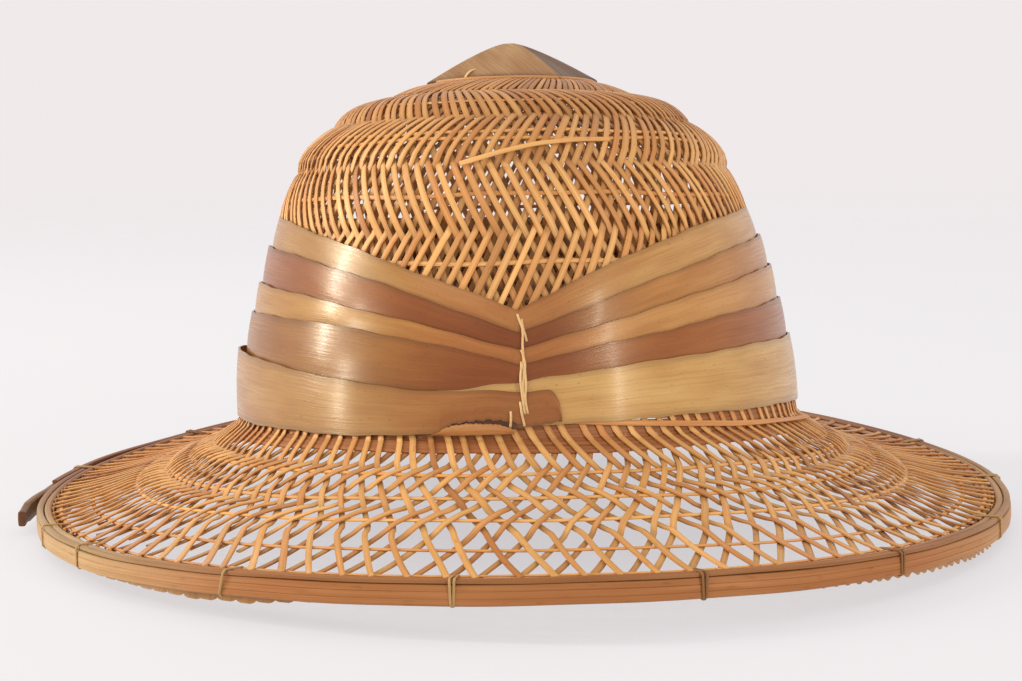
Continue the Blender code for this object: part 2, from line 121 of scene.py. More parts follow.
class Finish:
    # one material, its nodes and its shader
    def __init__(self, name):
        self.material = bpy.data.materials.new(name)
        self.material.use_nodes = True
        self.tree = self.material.node_tree
        self.shader = self.tree.nodes["Principled BSDF"]

    def feed(self, socket, value):
        if isinstance(value, Wire):
            self.tree.links.new(value.socket, socket)
        else:
            socket.default_value = value

    def node(self, kind, settings, sockets, output=0):
        # stops are the places and greys of a ramp
        made = self.tree.nodes.new(kind)
        for key, value in settings.items():
            if key == "stops":
                while len(made.color_ramp.elements) < len(value):
                    made.color_ramp.elements.new(0.5)
                for element, (place, grey) in zip(made.color_ramp.elements, value):
                    element.position = place
                    element.color = (grey, grey, grey, 1)
            else:
                setattr(made, key, value)
        for key, value in sockets.items():
            self.feed(made.inputs[key], value)
        return Wire(self.tree, made.outputs[output])

    def mix(self, factor, first, second, how="MIX"):
        settings = {"data_type": "RGBA", "blend_type": how}
        return self.node("ShaderNodeMix", settings, {0: factor, 6: first, 7: second}, 2)


fibre = {
    "glossTint": (1, 0.87, 0.64, 1),  # dried fibre reflects a little yellow
    # where each noise starts to count, and where it counts in full
    "streaks": (0.30, 0.70), "spots": (0.66, 0.76), "patches": (0.35, 0.68),
    "rougher": 0.14,  # between the streaks
    "streakRelief": 0.7, "patchRelief": 0.3,
}


def fibreFinish(name, look):
    # dried plant fibre: a painted tint, grain along it, fine flecks, worn patches and a soft gloss
    finish = Finish(name)
    tint = finish.node("ShaderNodeAttribute", {"attribute_name": "tint"}, {})
    place = finish.node("ShaderNodeAttribute", {"attribute_name": "grain"}, {}, 1)

    def noise(scale, detail):
        stretched = finish.node(
            "ShaderNodeVectorMath", {"operation": "MULTIPLY"}, {0: place, 1: scale})
        return finish.node(
            "ShaderNodeTexNoise", {}, {"Vector": stretched, "Scale": 1.0, "Detail": detail})

    def ramp(factor, low, high):
        return finish.node("ShaderNodeValToRGB", {"stops": ((low, 0), (high, 1))}, {"Fac": factor})

    patches = noise(look["patchScale"], 2.0)
    streaks = ramp(noise(look["grainScale"], 4.0), *fibre["streaks"])
    spots = ramp(noise(look["fleckScale"], 1.0), *fibre["spots"])
    shade = ramp(patches, *fibre["patches"])
    dark = (*look["darkTone"], 1)
    colour = finish.mix((1 - streaks) * look["grainDepth"], tint, dark, "MULTIPLY")
    colour = finish.mix(shade * look["patchDepth"], colour, (*look["patchTone"], 1), "MULTIPLY")
    colour = finish.mix(spots * look["fleckDepth"], colour, dark, "MULTIPLY")
    finish.feed(finish.shader.inputs["Base Color"], colour)
    rougher = (1 - streaks) * fibre["rougher"]
    finish.feed(finish.shader.inputs["Roughness"], look["roughness"] + rougher)
    height = streaks * fibre["streakRelief"] + patches * fibre["patchRelief"]
    bump = finish.node(
        "ShaderNodeBump", {}, {"Strength": look["bump"], "Distance": look["relief"], "Height": height})
    finish.feed(finish.shader.inputs["Normal"], bump)
    finish.shader.inputs["Coat Weight"].default_value = look["coat"]
    finish.shader.inputs["Coat Roughness"].default_value = look["coatRoughness"]
    finish.shader.inputs["Specular IOR Level"].default_value = look["gloss"]
    finish.shader.inputs["Specular Tint"].default_value = fibre["glossTint"]
    return finish.material


# meshes swept along lines

grainRoom = 50  # each splint takes its grain from its own place within that many metres
flatSection = ((-0.5, -0.5), (0.5, -0.5), (0.5, 0.2), (0.0, 0.5), (-0.5, 0.2))
roundSection = tuple(
    (0.5 * math.cos(fullTurn * k / 8), 0.5 * math.sin(fullTurn * k / 8)) for k in range(8))
softSection = ((-0.5, -0.25), (-0.3, -0.5), (0.3, -0.5), (0.5, -0.25), (0.5, 0.25), (0.3, 0.5),
               (-0.3, 0.5), (-0.5, 0.25))


def unit(vectors):
    return vectors / np.linalg.norm(vectors, axis=-1, keepdims=True)


class Bundle:
    # gathers swept splints, sheets and loops into one mesh
    def __init__(self):
        self.points = []
        self.faces = []
        self.tints = []
        self.grains = []
        self.count = 0

    def add(self, points, faces, tints, grains):
        self.points.append(points)
        self.faces += [[corner + self.count for corner in face] for face in faces]
        self.tints.append(np.broadcast_to(tints, points.shape))
        self.grains.append(grains)
        self.count += len(points)

    def sweep(self, centres, normals, widths, heights, section, tints, closed=False, shades=None):
        # normals point out of the splint's broad face; shades darken single corners of the section
        if closed:
            tangents = np.roll(centres, -1, 0) - np.roll(centres, 1, 0)
        else:
            tangents = np.gradient(centres, axis=0)
        tangents = unit(tangents)
        sides = unit(np.cross(tangents, normals))
        normals = np.cross(sides, tangents)
        shape = np.array(section)
        count, corners = len(centres), len(shape)
        widths = np.broadcast_to(widths, count)
        heights = np.broadcast_to(heights, count)
        across = widths[:, None] * shape[:, 0]
        up = heights[:, None] * shape[:, 1]
        points = centres[:, None] + sides[:, None] * across[..., None]
        points = points + normals[:, None] * up[..., None]
        steps = np.linalg.norm(np.diff(centres, axis=0), axis=1)
        lengths = np.concatenate(([0], np.cumsum(steps))) + seeded.random() * grainRoom
        grains = np.stack([across, np.broadcast_to(lengths[:, None], across.shape),
                           np.full(across.shape, seeded.random() * grainRoom)], -1)
        grid = np.arange(count * corners).reshape(count, corners)
        following = np.roll(grid, -1, 1)
        if closed:
            nextGrid, nextFollowing = np.roll(grid, -1, 0), np.roll(following, -1, 0)
        else:
            nextGrid, nextFollowing = grid[1:], following[1:]
            grid, following = grid[:-1], following[:-1]
        faces = np.stack([grid, following, nextFollowing, nextGrid], -1).reshape(-1, 4).tolist()
        if not closed:
            last = (count - 1) * corners
            faces.append(list(range(corners))[::-1])
            faces.append([last + k for k in range(corners)])
        tints = np.repeat(np.broadcast_to(tints, (count, 3)), corners, 0)
        if shades is not None:
            tints = tints * np.tile(np.array(shades), (count, 1))
        self.add(points.reshape(-1, 3), faces, tints, grains.reshape(-1, 3))

    def sheet(self, outer, inner, tints, grains, closed=False):
        # a thin wall between two grids of points, rows along it and columns across it
        rows, columns = outer.shape[:2]
        points = np.concatenate([outer.reshape(-1, 3), inner.reshape(-1, 3)])
        grid = np.arange(rows * columns).reshape(rows, columns)
        if closed:
            grid = np.concatenate([grid, grid[:1]])
        back = grid + rows * columns
        faces = []
        for skin in (grid, back):
            corners = [skin[:-1, :-1], skin[:-1, 1:], skin[1:, 1:], skin[1:, :-1]]
            faces += np.stack(corners, -1).reshape(-1, 4).tolist()
        for column in (0, columns - 1):
            edge = [grid[:-1, column], grid[1:, column], back[1:, column], back[:-1, column]]
            faces += np.stack(edge, -1).reshape(-1, 4).tolist()
        if not closed:
            for row in (0, rows - 1):
                edge = [grid[row, :-1], grid[row, 1:], back[row, 1:], back[row, :-1]]
                faces += np.stack(edge, -1).reshape(-1, 4).tolist()
        tints = np.concatenate([tints.reshape(-1, 3)] * 2)
        grains = np.concatenate([grains.reshape(-1, 3)] * 2)
        self.add(points, faces, tints, grains)

    def piece(self, name, material, slot, nodes=(), sharp=40.0):
        mesh = bpy.data.meshes.new(name)
        mesh.from_pydata(np.concatenate(self.points).tolist(), [], self.faces)
        colours = np.concatenate(self.tints)
        colours = np.concatenate([colours, np.ones((len(colours), 1))], 1)
        tint = mesh.attributes.new("tint", "FLOAT_COLOR", "POINT")
        tint.data.foreach_set("color", colours.astype(np.float32).ravel())
        grain = mesh.attributes.new("grain", "FLOAT_VECTOR", "POINT")
        grain.data.foreach_set("vector", np.concatenate(self.grains).astype(np.float32).ravel())
        shape = bmesh.new()
        shape.from_mesh(mesh)
        bmesh.ops.recalc_face_normals(shape, faces=shape.faces)
        shape.to_mesh(mesh)
        shape.free()
        mesh.shade_smooth()
        mesh.set_sharp_from_angle(angle=math.radians(sharp))
        mesh.materials.append(material)
        made = bpy.data.objects.new(name, mesh)
        bpy.context.collection.objects.link(made)
        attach(made, "root")
        if nodes:
            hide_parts(*nodes)
        return made


# the helmet's surfaces, laid over the frame's own

rim = {
    "middleInset": 0.0026,  # outside of the bundle to the middle hoop
    "hoopHeight": 0.0060,
    "lineHeight": 0.0060,  # resting plane to the middle of the bundle
    "rise": 0.0065,  # how far front and back stand above the sides
    "levelHalf": 0.0300,
    "weaveInset": 0.0049,
    "brimCurve": 0.75,  # how much of the brim's fall lies near the crown, 0 for a straight slope
}
hoopLow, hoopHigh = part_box("rim_hoop_middle")
rimCentre = (hoopLow.x + hoopHigh.x) / 2
rimHalfWidth = (hoopHigh.x - hoopLow.x) / 2 + rim["middleInset"]
rimHalfLength = (hoopHigh.y - hoopLow.y) / 2 + rim["middleInset"]

crown = {
    "neckHeight": 0.0250,  # above the rim line
    "height": 0.1046,
    "halfWidth": 0.0875,
    "halfLength": 0.1010,
    "lean": 4.75,
    "offset": -0.0018,
    "sideways": 0.0008,  # the part under the hatband sits a little to the right
    "sidewaysFade": (0.45, 0.66),  # height shares
    "steps": 12,  # from one stop of the profile to the next
    "profile": ((0, 1), (0.191, 0.962), (0.397, 0.899), (0.555, 0.843), (0.713, 0.780),
                (0.774, 0.750), (0.851, 0.661), (0.908, 0.583), (0.944, 0.466),
                (0.985, 0.307), (1, 0)),  # height share, width share
}
crownMatrix = Matrix.Translation((rimCentre + crown["offset"], 0, rim["lineHeight"]))
crownMatrix = np.array(crownMatrix @ Matrix.Rotation(math.radians(-crown["lean"]), 4, "X"))


def rimPoint(angle, inset, height):
    angle, inset, height = np.broadcast_arrays(angle, inset, height)
    x = rimCentre + (rimHalfWidth - inset) * np.sin(angle)
    y = -(rimHalfLength - inset) * np.cos(angle)
    over = np.maximum(0, np.abs(y) - rim["levelHalf"]) / (rimHalfLength - rim["levelHalf"])
    return np.stack([x, y, rim["lineHeight"] + rim["rise"] * over ** 2 + height], -1)


def smoothProfile():
    rows = [(width, height) for height, width in crown["profile"]]
    padded = [rows[0]] + rows + [(-rows[-2][0], rows[-2][1])]
    curve = []
    for before, start, end, after in zip(padded, padded[1:], padded[2:], padded[3:]):
        before, start, end, after = map(np.array, (before, start, end, after))
        for t in np.arange(0, 1, 1 / crown["steps"]):
            point = (2 * t ** 3 - 3 * t ** 2 + 1) * start
            point = point + (t ** 3 - 2 * t ** 2 + t) * (end - before) / 2
            point = point + (3 * t ** 2 - 2 * t ** 3) * end
            curve.append(point + (t ** 3 - t ** 2) * (after - start) / 2)
    curve.append(np.array(rows[-1]))
    return np.array(curve) * (crown["halfWidth"], crown["height"])


crownCurve = smoothProfile()[::-1]  # from the top down to the neck
crownWidths, crownHeights = crownCurve[:, 0], crownCurve[:, 1]
crownRuns = np.concatenate(([0], np.cumsum(np.linalg.norm(np.diff(crownCurve, axis=0), axis=1))))
neckRun = crownRuns[-1]


def crownRing(angle, width, height, outward=0.0):
    # a point of the crown at that half width and height above the neck
    angle, width, height, outward = np.broadcast_arrays(angle, width, height, outward)
    length = width * crown["halfLength"] / crown["halfWidth"]
    low = 1 - ease(height / crown["height"], *crown["sidewaysFade"])
    x = (width + outward) * np.sin(angle) + crown["sideways"] * low
    y = -(length + outward) * np.cos(angle)
    upright = np.stack([x, y, crown["neckHeight"] + height, np.ones_like(x)], -1)
    return (upright @ crownMatrix.T)[..., :3]


def widthAt(height):
    return np.interp(height, crownHeights[::-1], crownWidths[::-1])


def runAt(heightShare):
    return float(np.interp(heightShare * crown["height"], crownHeights[::-1], crownRuns[::-1]))


brimRun = float(np.linalg.norm(
    rimPoint(0.0, rim["weaveInset"], rim["hoopHeight"] / 2) - crownRing(0.0, crown["halfWidth"], 0.0)))
rimRun = neckRun + brimRun


def weaveSurface(angle, run):
    # run counts from the top of the crown, over the neck and out to the rim, then down into it
    angle, run = np.broadcast_arrays(angle, run)
    width, height = np.interp(run, crownRuns, crownWidths), np.interp(run, crownRuns, crownHeights)
    upper = crownRing(angle, width, height)
    edge = rimPoint(angle, rim["weaveInset"], rim["hoopHeight"] / 2)
    share = np.clip((run - neckRun) / brimRun, 0, 1)
    fall = blend(share, 1 - (1 - share) ** 2, rim["brimCurve"])
    point = upper + (edge - upper) * share[..., None]
    point[..., 2] = upper[..., 2] + (edge[..., 2] - upper[..., 2]) * fall
    point[..., 2] -= np.maximum(0, run - rimRun)
    return point


def weaveNormal(angle, run, probe=0.0009, probeAngle=0.01):
    ahead = weaveSurface(angle, run + probe) - weaveSurface(angle, run - probe)
    aside = weaveSurface(angle + probeAngle, run) - weaveSurface(angle - probeAngle, run)
    return unit(np.cross(ahead, aside))


# camera, at the photograph's place

view = {
    "place": (-0.00065, -0.7103, 0.1404), "pitch": -6.92, "roll": -0.84,
    "lens": 79.8, "sensor": 36,  # millimetres
}
cameraData = bpy.data.cameras.new("camera")
cameraData.lens = view["lens"]
cameraData.sensor_width = view["sensor"]
camera = bpy.data.objects.new("camera", cameraData)
pitched = Matrix.Rotation(math.radians(90 + view["pitch"]), 4, "X")
rolled = Matrix.Rotation(math.radians(view["roll"]), 4, "Z")
camera.matrix_world = Matrix.Translation(view["place"]) @ (pitched @ rolled)
bpy.context.collection.objects.link(camera)
bpy.context.scene.camera = camera
print("camera placed")

# the woven net of crown and brim

def cornerShades(side):
    # painted shade: a flat splint is darker and browner below and at its upper edges than on its face
    return ((0.76, 0.62, 0.50), (0.76, 0.62, 0.50), side, (1, 1, 1), side)


weave = {
    "seed": 7,
    "strands": 120,  # in each of the two directions
    "width": 0.00175,
    "thickness": 0.00050,
    "brimThickness": 0.00060,
    "depth": 0.00070,  # middle of the two layers below the outer face
    "layer": 0.00048,  # each layer's distance from that middle
    "brimLayer": 0.00052,
    "crownSlant": 24.0,
    "brimSlant": ((0, 22.0), (0.13, 22.0), (0.16, 33.0), (0.50, 33.0), (0.57, 18.5), (1, 16.5)),
    "brimTwist": ((0.50, 0.0), (0.60, -4.5), (1, -4.5)),  # both directions lean this much to one side
    "spread": ((0, 0.025), (0.60, 0.150), (1, 0.095)),  # wider spacing at the front and back
    "startRadii": (0.0065, 0.0195, 0.0120, 0.0195),  # under the cap: fewer reach the middle
    "endGap": 0.0006,  # cut ends above the lower edge of the rim's bundle
    "step": 0.0024,
    "fineStep": 0.0015,
    "fineRoom": (0.003, 0.001),  # the fine steps start this far before the rim, or before a short end
    "tableSteps": 1200,
    "slantRadius": 0.018,  # the slant is eased inside this radius
    "scatter": 0.07,  # of the spacing, as is the next
    "wander": 0.06,
    "pace": (18, 22),  # slowest waves, and what may come on top
    "ripple": 0.00006,
    "widthShares": (0.88, 0.24),  # narrowest, and what may come on top
    "taper": (0.62, 0.018, 0.060),  # share of the width near the middle, and the radii it fades over
    "swapReach": 0.9,
    "crownSwaps": (0.951, 0.862, 0.735, 0.558, 0.25),  # height shares where the layers change places
    "brimSwaps": (0.14, 0.27, 0.39, 0.525),  # shares of the way over the brim
    "underShade": 0.22,  # how much darker the covered strands are
    "topShade": np.array((0.74, 0.67, 0.62)),
    "topFade": (0.048, 0.080),
    "crownTone": np.array((0.93, 0.93, 0.97)),
    "lowPaintedLight": 0.13,  # painted light: how much lighter the strands get towards the hatband
    "lowReach": (0.085, 0.055),  # above the neck
    "backPaintedShade": np.array((0.93, 0.83, 0.74)),  # painted shade: darker and redder over the back of the brim
    "backReach": (84, 112),  # degrees
    "brimTone": np.array((0.88, 0.87, 0.86)),
    # every other strand of one direction ends short of the rim at the front left
    "shortReach": (-64, -26),  # degrees at the rim
    "shortShares": (0.78, 0.90),
    "swells": (0.0006, 0.0009, 0.0013, 0.0015, 0.0003, 0.0003, 0.0005, 0.0005, 0.0004),
    "crownHoops": (0.908, 0.813, 0.793, 0.64, 0.461, 0.33, 0.12),
    "light": paint(236, 190, 122),
    "brown": paint(210, 152, 92),
    "brownBias": 1.6,  # higher for fewer brown strands
    "brownMost": 0.90,
    "deep": paint(168, 108, 62),
    "deepShare": 0.06,
    # painted shade on the strands' undersides and edges, on the crown and on the brim
    "edgeShades": cornerShades((0.84, 0.74, 0.63)),
    "brimShades": cornerShades((0.86, 0.76, 0.66)),
}
seeded = random.Random(weave["seed"])
spacing = fullTurn / weave["strands"]

tableRuns = np.linspace(0, rimRun + 0.02, weave["tableSteps"])
tableRadius = np.where(tableRuns < neckRun, np.interp(tableRuns, crownRuns, crownWidths),
                       blend(crown["halfWidth"], rimHalfWidth, (tableRuns - neckRun) / brimRun))
tableShares = (tableRuns - neckRun) / brimRun  # of the way over the brim


def alongBrim(stops, share):
    return np.interp(share, [stop[0] for stop in stops], [stop[1] for stop in stops])


def gathered(slants):
    # how far a line with these slants has turned round the helmet
    steps = np.tan(np.radians(slants)) / np.maximum(tableRadius, weave["slantRadius"])
    return np.concatenate(([0], np.cumsum(steps[1:] * np.diff(tableRuns))))


brimSlants = alongBrim(weave["brimSlant"], tableShares)
tableTurn = gathered(np.where(tableShares < 0, weave["crownSlant"], brimSlants))
tableTwist = gathered(alongBrim(weave["brimTwist"], tableShares))


def turnAt(run):
    return np.interp(run, tableRuns, tableTurn)


def twistAt(run):
    return np.interp(run, tableRuns, tableTwist)


def snapped(run):
    # nearest place halfway between two rows of crossings
    rows = spacing / 2
    turn = (math.floor(turnAt(run) / rows) + 0.5) * rows
    return float(np.interp(turn, tableTurn, tableRuns))


swapRuns = [snapped(runAt(share)) for share in weave["crownSwaps"]]
swapRuns += [snapped(neckRun + share * brimRun) for share in weave["brimSwaps"]]


def leadShare(run):
    # +1 where the strands that lean right on their way down lie outside, -1 where the others do
    level = -np.ones_like(run)
    for place in swapRuns:
        reach = weave["swapReach"] * (spacing * np.interp(place, tableRuns, tableRadius) / 2)
        level = level * (1 - 2 * ease(run, place - reach, place + reach))
    return level


def swell(run):
    # the weave bulges a little between the rings where it changes over
    raised = np.zeros_like(run)
    for here, after, height in zip([0.0] + swapRuns, swapRuns, weave["swells"]):
        share = np.clip((run - here) / (after - here), 0, 1)
        raised += 4 * share * (1 - share) * height
    return raised


def spreadAngle(angle, run):
    return angle + alongBrim(weave["spread"], (run - neckRun) / brimRun) * np.sin(2 * angle)


def strandStart(number):
    # the run at which a strand starts under the cap
    radii = weave["startRadii"]
    return float(np.interp(radii[number % len(radii)], crownWidths, crownRuns))


def strandTint():
    pick = seeded.random()
    share = seeded.random() ** weave["brownBias"] * weave["brownMost"]
    tint = blend(weave["light"], weave["brown"], share)
    if pick < weave["deepShare"]:
        tint = blend(tint, weave["deep"], 0.5)
    return tint * (0.94 + 0.12 * seeded.random())


def weaveStrand(number, lean):
    # the run along one strand from under the cap to its cut end below the rim
    base = number * spacing + seeded.gauss(0, weave["scatter"]) * spacing
    end = rimRun + rim["hoopHeight"] - weave["endGap"]
    atRim = degreesFrom(base + lean * turnAt(rimRun))
    low, high = weave["shortReach"]
    if lean < 0 and number % 2 and low < atRim < high:
        end = neckRun + brimRun * blend(*weave["shortShares"], seeded.random())
    rimRoom, endRoom = weave["fineRoom"]
    bend = min(rimRun - rimRoom, end - endRoom)
    coarse = np.arange(strandStart(number), bend, weave["step"])
    fine = np.arange(bend, end - endRoom / 2, weave["fineStep"])
    runs = np.concatenate([coarse, fine, [end]])
    slowest, faster = weave["pace"]
    phase, pace = seeded.random() * fullTurn, slowest + faster * seeded.random()
    wander = weave["wander"] * spacing * np.sin(phase + pace * runs * 3)
    angles = spreadAngle(base + lean * turnAt(runs) + twistAt(runs) + wander, runs)
    lead = leadShare(runs) * lean
    normals = weaveNormal(angles, runs)
    layer = np.where(runs < neckRun, weave["layer"], weave["brimLayer"])
    lift = -weave["depth"] + lead * layer + swell(runs)
    lift = lift + weave["ripple"] * np.sin(phase * 3 + runs * 260)
    centres = weaveSurface(angles, runs) + normals * lift[:, None]
    radius = np.interp(runs, tableRuns, tableRadius)
    narrowest, wider = weave["widthShares"]
    width = weave["width"] * (narrowest + wider * seeded.random())
    least, *taperRadii = weave["taper"]
    widths = width * (least + (1 - least) * ease(radius, *taperRadii))
    widths = widths * (1 + 0.06 * np.sin(phase * 2 + runs * 150))
    return runs, centres, normals, widths, strandTints(runs, angles, lead < 0, phase)


def strandTints(runs, angles, covered, phase):
    # darker where covered and at the top (painted shade), lighter near the hatband (painted light),
    # darker and redder over the back of the brim (painted shade)
    tints = strandTint() * (1 + 0.05 * np.sin(phase + runs * 70))[:, None]
    tints = tints * (1 - weave["underShade"] * covered)[:, None]
    tints = tints * (1 - (1 - weave["topShade"]) * (1 - ease(runs, *weave["topFade"]))[:, None])
    tints = tints * np.where(runs[:, None] < neckRun, weave["crownTone"], weave["brimTone"])
    # painted light towards the hatband
    farthest, nearest = weave["lowReach"]
    low = ease(runs, neckRun - farthest, neckRun - nearest) * (runs < neckRun)
    tints = tints * (1 + weave["lowPaintedLight"] * low[:, None])
    # painted shade over the back of the brim
    back = ease(np.abs(degreesFrom(angles)), *weave["backReach"]) * (runs >= neckRun)
    return tints * (1 - (1 - weave["backPaintedShade"]) * back[:, None])


weaveLook = {
    "grainScale": (2600, 45, 1), "patchScale": (120, 30, 1), "fleckScale": (900, 240, 1),
    "grainDepth": 0.40, "patchDepth": 0.35, "fleckDepth": 0.35,
    "darkTone": paint(194, 150, 104), "patchTone": paint(228, 200, 166),
    "roughness": 0.38, "bump": 0.55, "relief": 0.00006,
    "coat": 0.05, "coatRoughness": 0.30, "gloss": 0.32,
}
caneFibre = fibreFinish("splitCane", weaveLook)

for lean, family in ((1, "Right"), (-1, "Left")):
    upperPart, lowerPart = Bundle(), Bundle()
    for number in range(weave["strands"]):
        runs, centres, normals, widths, tints = weaveStrand(number, lean)
        split = int(np.searchsorted(runs, neckRun))
        for bundle, part, thickness, shades in (
                (upperPart, slice(0, split + 1), weave["thickness"], weave["edgeShades"]),
                (lowerPart, slice(split, None), weave["brimThickness"], weave["brimShades"])):
            bundle.sweep(centres[part], normals[part], widths[part], thickness, flatSection,
                         tints[part], False, shades)
    upperPart.piece("crownStrands" + family, caneFibre, "woven_cane", ["woven_crown"])
    lowerPart.piece("brimStrands" + family, caneFibre, "woven_cane", ["woven_brim"])
print("strands woven,", 2 * weave["strands"])

# thin hoops between the layers of the weave
weaveHoops = {
    "points": 240,
    "width": 0.00125,
    "thickness": 0.00038,
    # share of the way over the brim at the front, more at the sides, more on the right
    "brim": ((0.03, 0, 0), (0.195, 0.02, 0), (0.345, 0.04, 0), (0.485, 0.08, 0), (0.705, 0.12, 0.03),
             (0.96, 0, 0)),
    "neck": (-0.075, -0.050, -0.030, -0.014, 0.000, 0.014, 0.030, 0.048, 0.062),
    "neckWidth": 0.0017,
    # painted shade: the neck rings are darker than the strands, standing in for the shade in the gaps at
    # the foot of the hatband
    "neckShadeColour": paint(160, 106, 66),
    # extra turns close to the rim, round the sides and back
    "edge": (0.915, 0.935, 0.955, 0.972, 0.988),
    "edgeReach": (76, 284),  # degrees
    "edgeSpare": 16,  # how much shorter some are at each end
    "edgeColour": paint(180, 130, 86),
}

# cut ends of the strands, hanging below the rim: pointed on one side and rounded on the other
hem = {
    "flare": 0.0020,  # how much farther out the tips stand
    "floorGap": 0.0003,
    "colour": paint(198, 152, 100),
    "thickness": 0.0005,
    "smallest": 0.0006,
    "turn": 0.10,  # so that each end overlaps the next
    # along an end: heights above its tip
    "heights": np.array((0.0060, 0.0050, 0.0040, 0.0030, 0.0020, 0.0013, 0.0010, 0.0007, 0.0003, 0)),
    # drops: how far the ends hang down, by degrees from the front
    "pointed": {"start": 25.0, "end": 180.0, "pitch": 1.55, "width": 0.0052,
                "drops": ((25, 0.0009), (40, 0.0020), (60, 0.0034), (110, 0.0034), (180, 0.0030)),
                "shape": ((0, 0.10), (0.0012, 1.0), (0.0070, 1.0))},
    "rounded": {"start": -20.0, "end": -66.0, "pitch": -2.3, "width": 0.0066,
                "drops": ((20, 0.0008), (29, 0.0026), (37, 0.0029), (46, 0.0019), (58, 0.0013),
                          (66, 0.0009)),
                "shape": ((0, 0.42), (0.0003, 0.70), (0.0008, 0.90), (0.0014, 1.0), (0.0070, 1.0))},
}
ends = Bundle()
for side in ("pointed", "rounded"):
    look = hem[side]
    for place in np.arange(look["start"], look["end"], look["pitch"]):
        angle = math.radians(place + 0.12 * seeded.gauss(0, 1))
        low = -rim["hoopHeight"] / 2
        room = float(rimPoint(angle, 0.0, low)[2]) - hem["floorGap"]
        drop = min(alongBrim(look["drops"], abs(place)), room) * (0.84 + 0.16 * seeded.random())
        if drop < hem["smallest"]:
            continue
        heights = hem["heights"]
        flare = hem["flare"] * (1 - heights / heights[0])
        inset = rim["weaveInset"] - flare + 0.0003 * seeded.random()
        centres = rimPoint(angle, inset, low - drop + heights)
        aside = angle + hem["turn"]
        normals = np.tile((math.sin(aside), -math.cos(aside), 0), (len(heights), 1))
        width = look["width"] * alongBrim(look["shape"], heights)
        tint = hem["colour"] * (0.88 + 0.2 * seeded.random())
        ends.sweep(centres, normals, width, hem["thickness"], flatSection, tint)


def layRing(bundle, run, tint, sideways=0, rightward=0, reach=None, width=weaveHoops["width"]):
    angles = np.linspace(0, fullTurn, weaveHoops["points"], endpoint=False)
    if reach:
        angles = np.radians(np.linspace(*reach, weaveHoops["points"]))
    runs = run + 0.0003 * np.sin(angles * 5 + run * 900) + 0.0002 * np.sin(angles * 11 + run * 500)
    runs = runs + brimRun * (sideways * np.sin(angles) ** 2 + rightward * np.sin(angles))
    normals = weaveNormal(angles, runs)
    centres = weaveSurface(angles, runs) + normals * (swell(runs) - weave["depth"])[:, None]
    bundle.sweep(centres, normals, width, weaveHoops["thickness"], flatSection, tint, not reach,
                 weave["edgeShades"])


crownRings, brimRings = Bundle(), Bundle()
for share in weave["crownHoops"]:
    layRing(crownRings, runAt(share), strandTint())
for share, sideways, rightward in weaveHoops["brim"]:
    layRing(brimRings, neckRun + share * brimRun, strandTint(), sideways, rightward)
# dark neck rings: painted shade in the gaps at the foot of the hatband
for share in weaveHoops["neck"]:
    tint = weaveHoops["neckShadeColour"] * (0.9 + 0.2 * seeded.random())
    layRing(brimRings, neckRun + share * brimRun, tint, width=weaveHoops["neckWidth"])
for share in weaveHoops["edge"]:
    low, high = weaveHoops["edgeReach"]
    spare = weaveHoops["edgeSpare"]
    reach = (low + spare * seeded.random(), high - spare * seeded.random())
    tint = weaveHoops["edgeColour"] * (0.85 + 0.3 * seeded.random())
    layRing(brimRings, neckRun + share * brimRun, tint, reach=reach)
ends.piece("hemEnds", caneFibre, "woven_cane")
crownRings.piece("crownHoops", caneFibre, "woven_cane", ["woven_crown"])
brimRings.piece("brimHoops", caneFibre, "woven_cane", ["woven_brim"])
print("weaving hoops laid")


def laidPath(stops, count=60):
    # a splint lying on the weave; stops: angle in degrees, run, lift
    stops = np.array(stops)
    shares = np.linspace(0, len(stops) - 1, count)
    angle, run, lift = (np.interp(shares, range(len(stops)), stops[:, k]) for k in range(3))
    kernel = np.ones(7) / 7
    angle, run, lift = (
        np.convolve(np.pad(line, 3, mode="reflect", reflect_type="odd"), kernel, "valid")
        for line in (angle, run, lift))
    angle = np.radians(angle)
    normals = weaveNormal(angle, run)
    return weaveSurface(angle, run) + normals * lift[:, None], normals


looseSplints = (
    {"name": "looseHoopEnd", "width": 0.0014, "thickness": 0.0005,
     "colour": blend(weave["light"], weave["brown"], 0.35),
     "stops": ((-12.5, runAt(0.722), 0.0014), (-4, runAt(0.748), 0.0018), (6, runAt(0.768), 0.0020),
               (16, runAt(0.778), 0.0019), (25, runAt(0.784), 0.0012))},
    {"name": "looseNeckSplint", "width": 0.0015, "thickness": 0.0006, "colour": weave["brown"],
     "stops": ((8.0, neckRun - 0.0044, 0.0004), (20, neckRun - 0.0032, 0.0007),
               (40, neckRun - 0.0014, 0.0009), (60, neckRun + 0.0010, 0.0012),
               (78, neckRun + 0.0032, 0.0014))},
)
for splint in looseSplints:
    centres, normals = laidPath(splint["stops"])
    loose = Bundle()
    loose.sweep(centres, normals, splint["width"], splint["thickness"], flatSection, splint["colour"])
    loose.piece(splint["name"], caneFibre, "woven_cane")

# hatband of five leaf strips

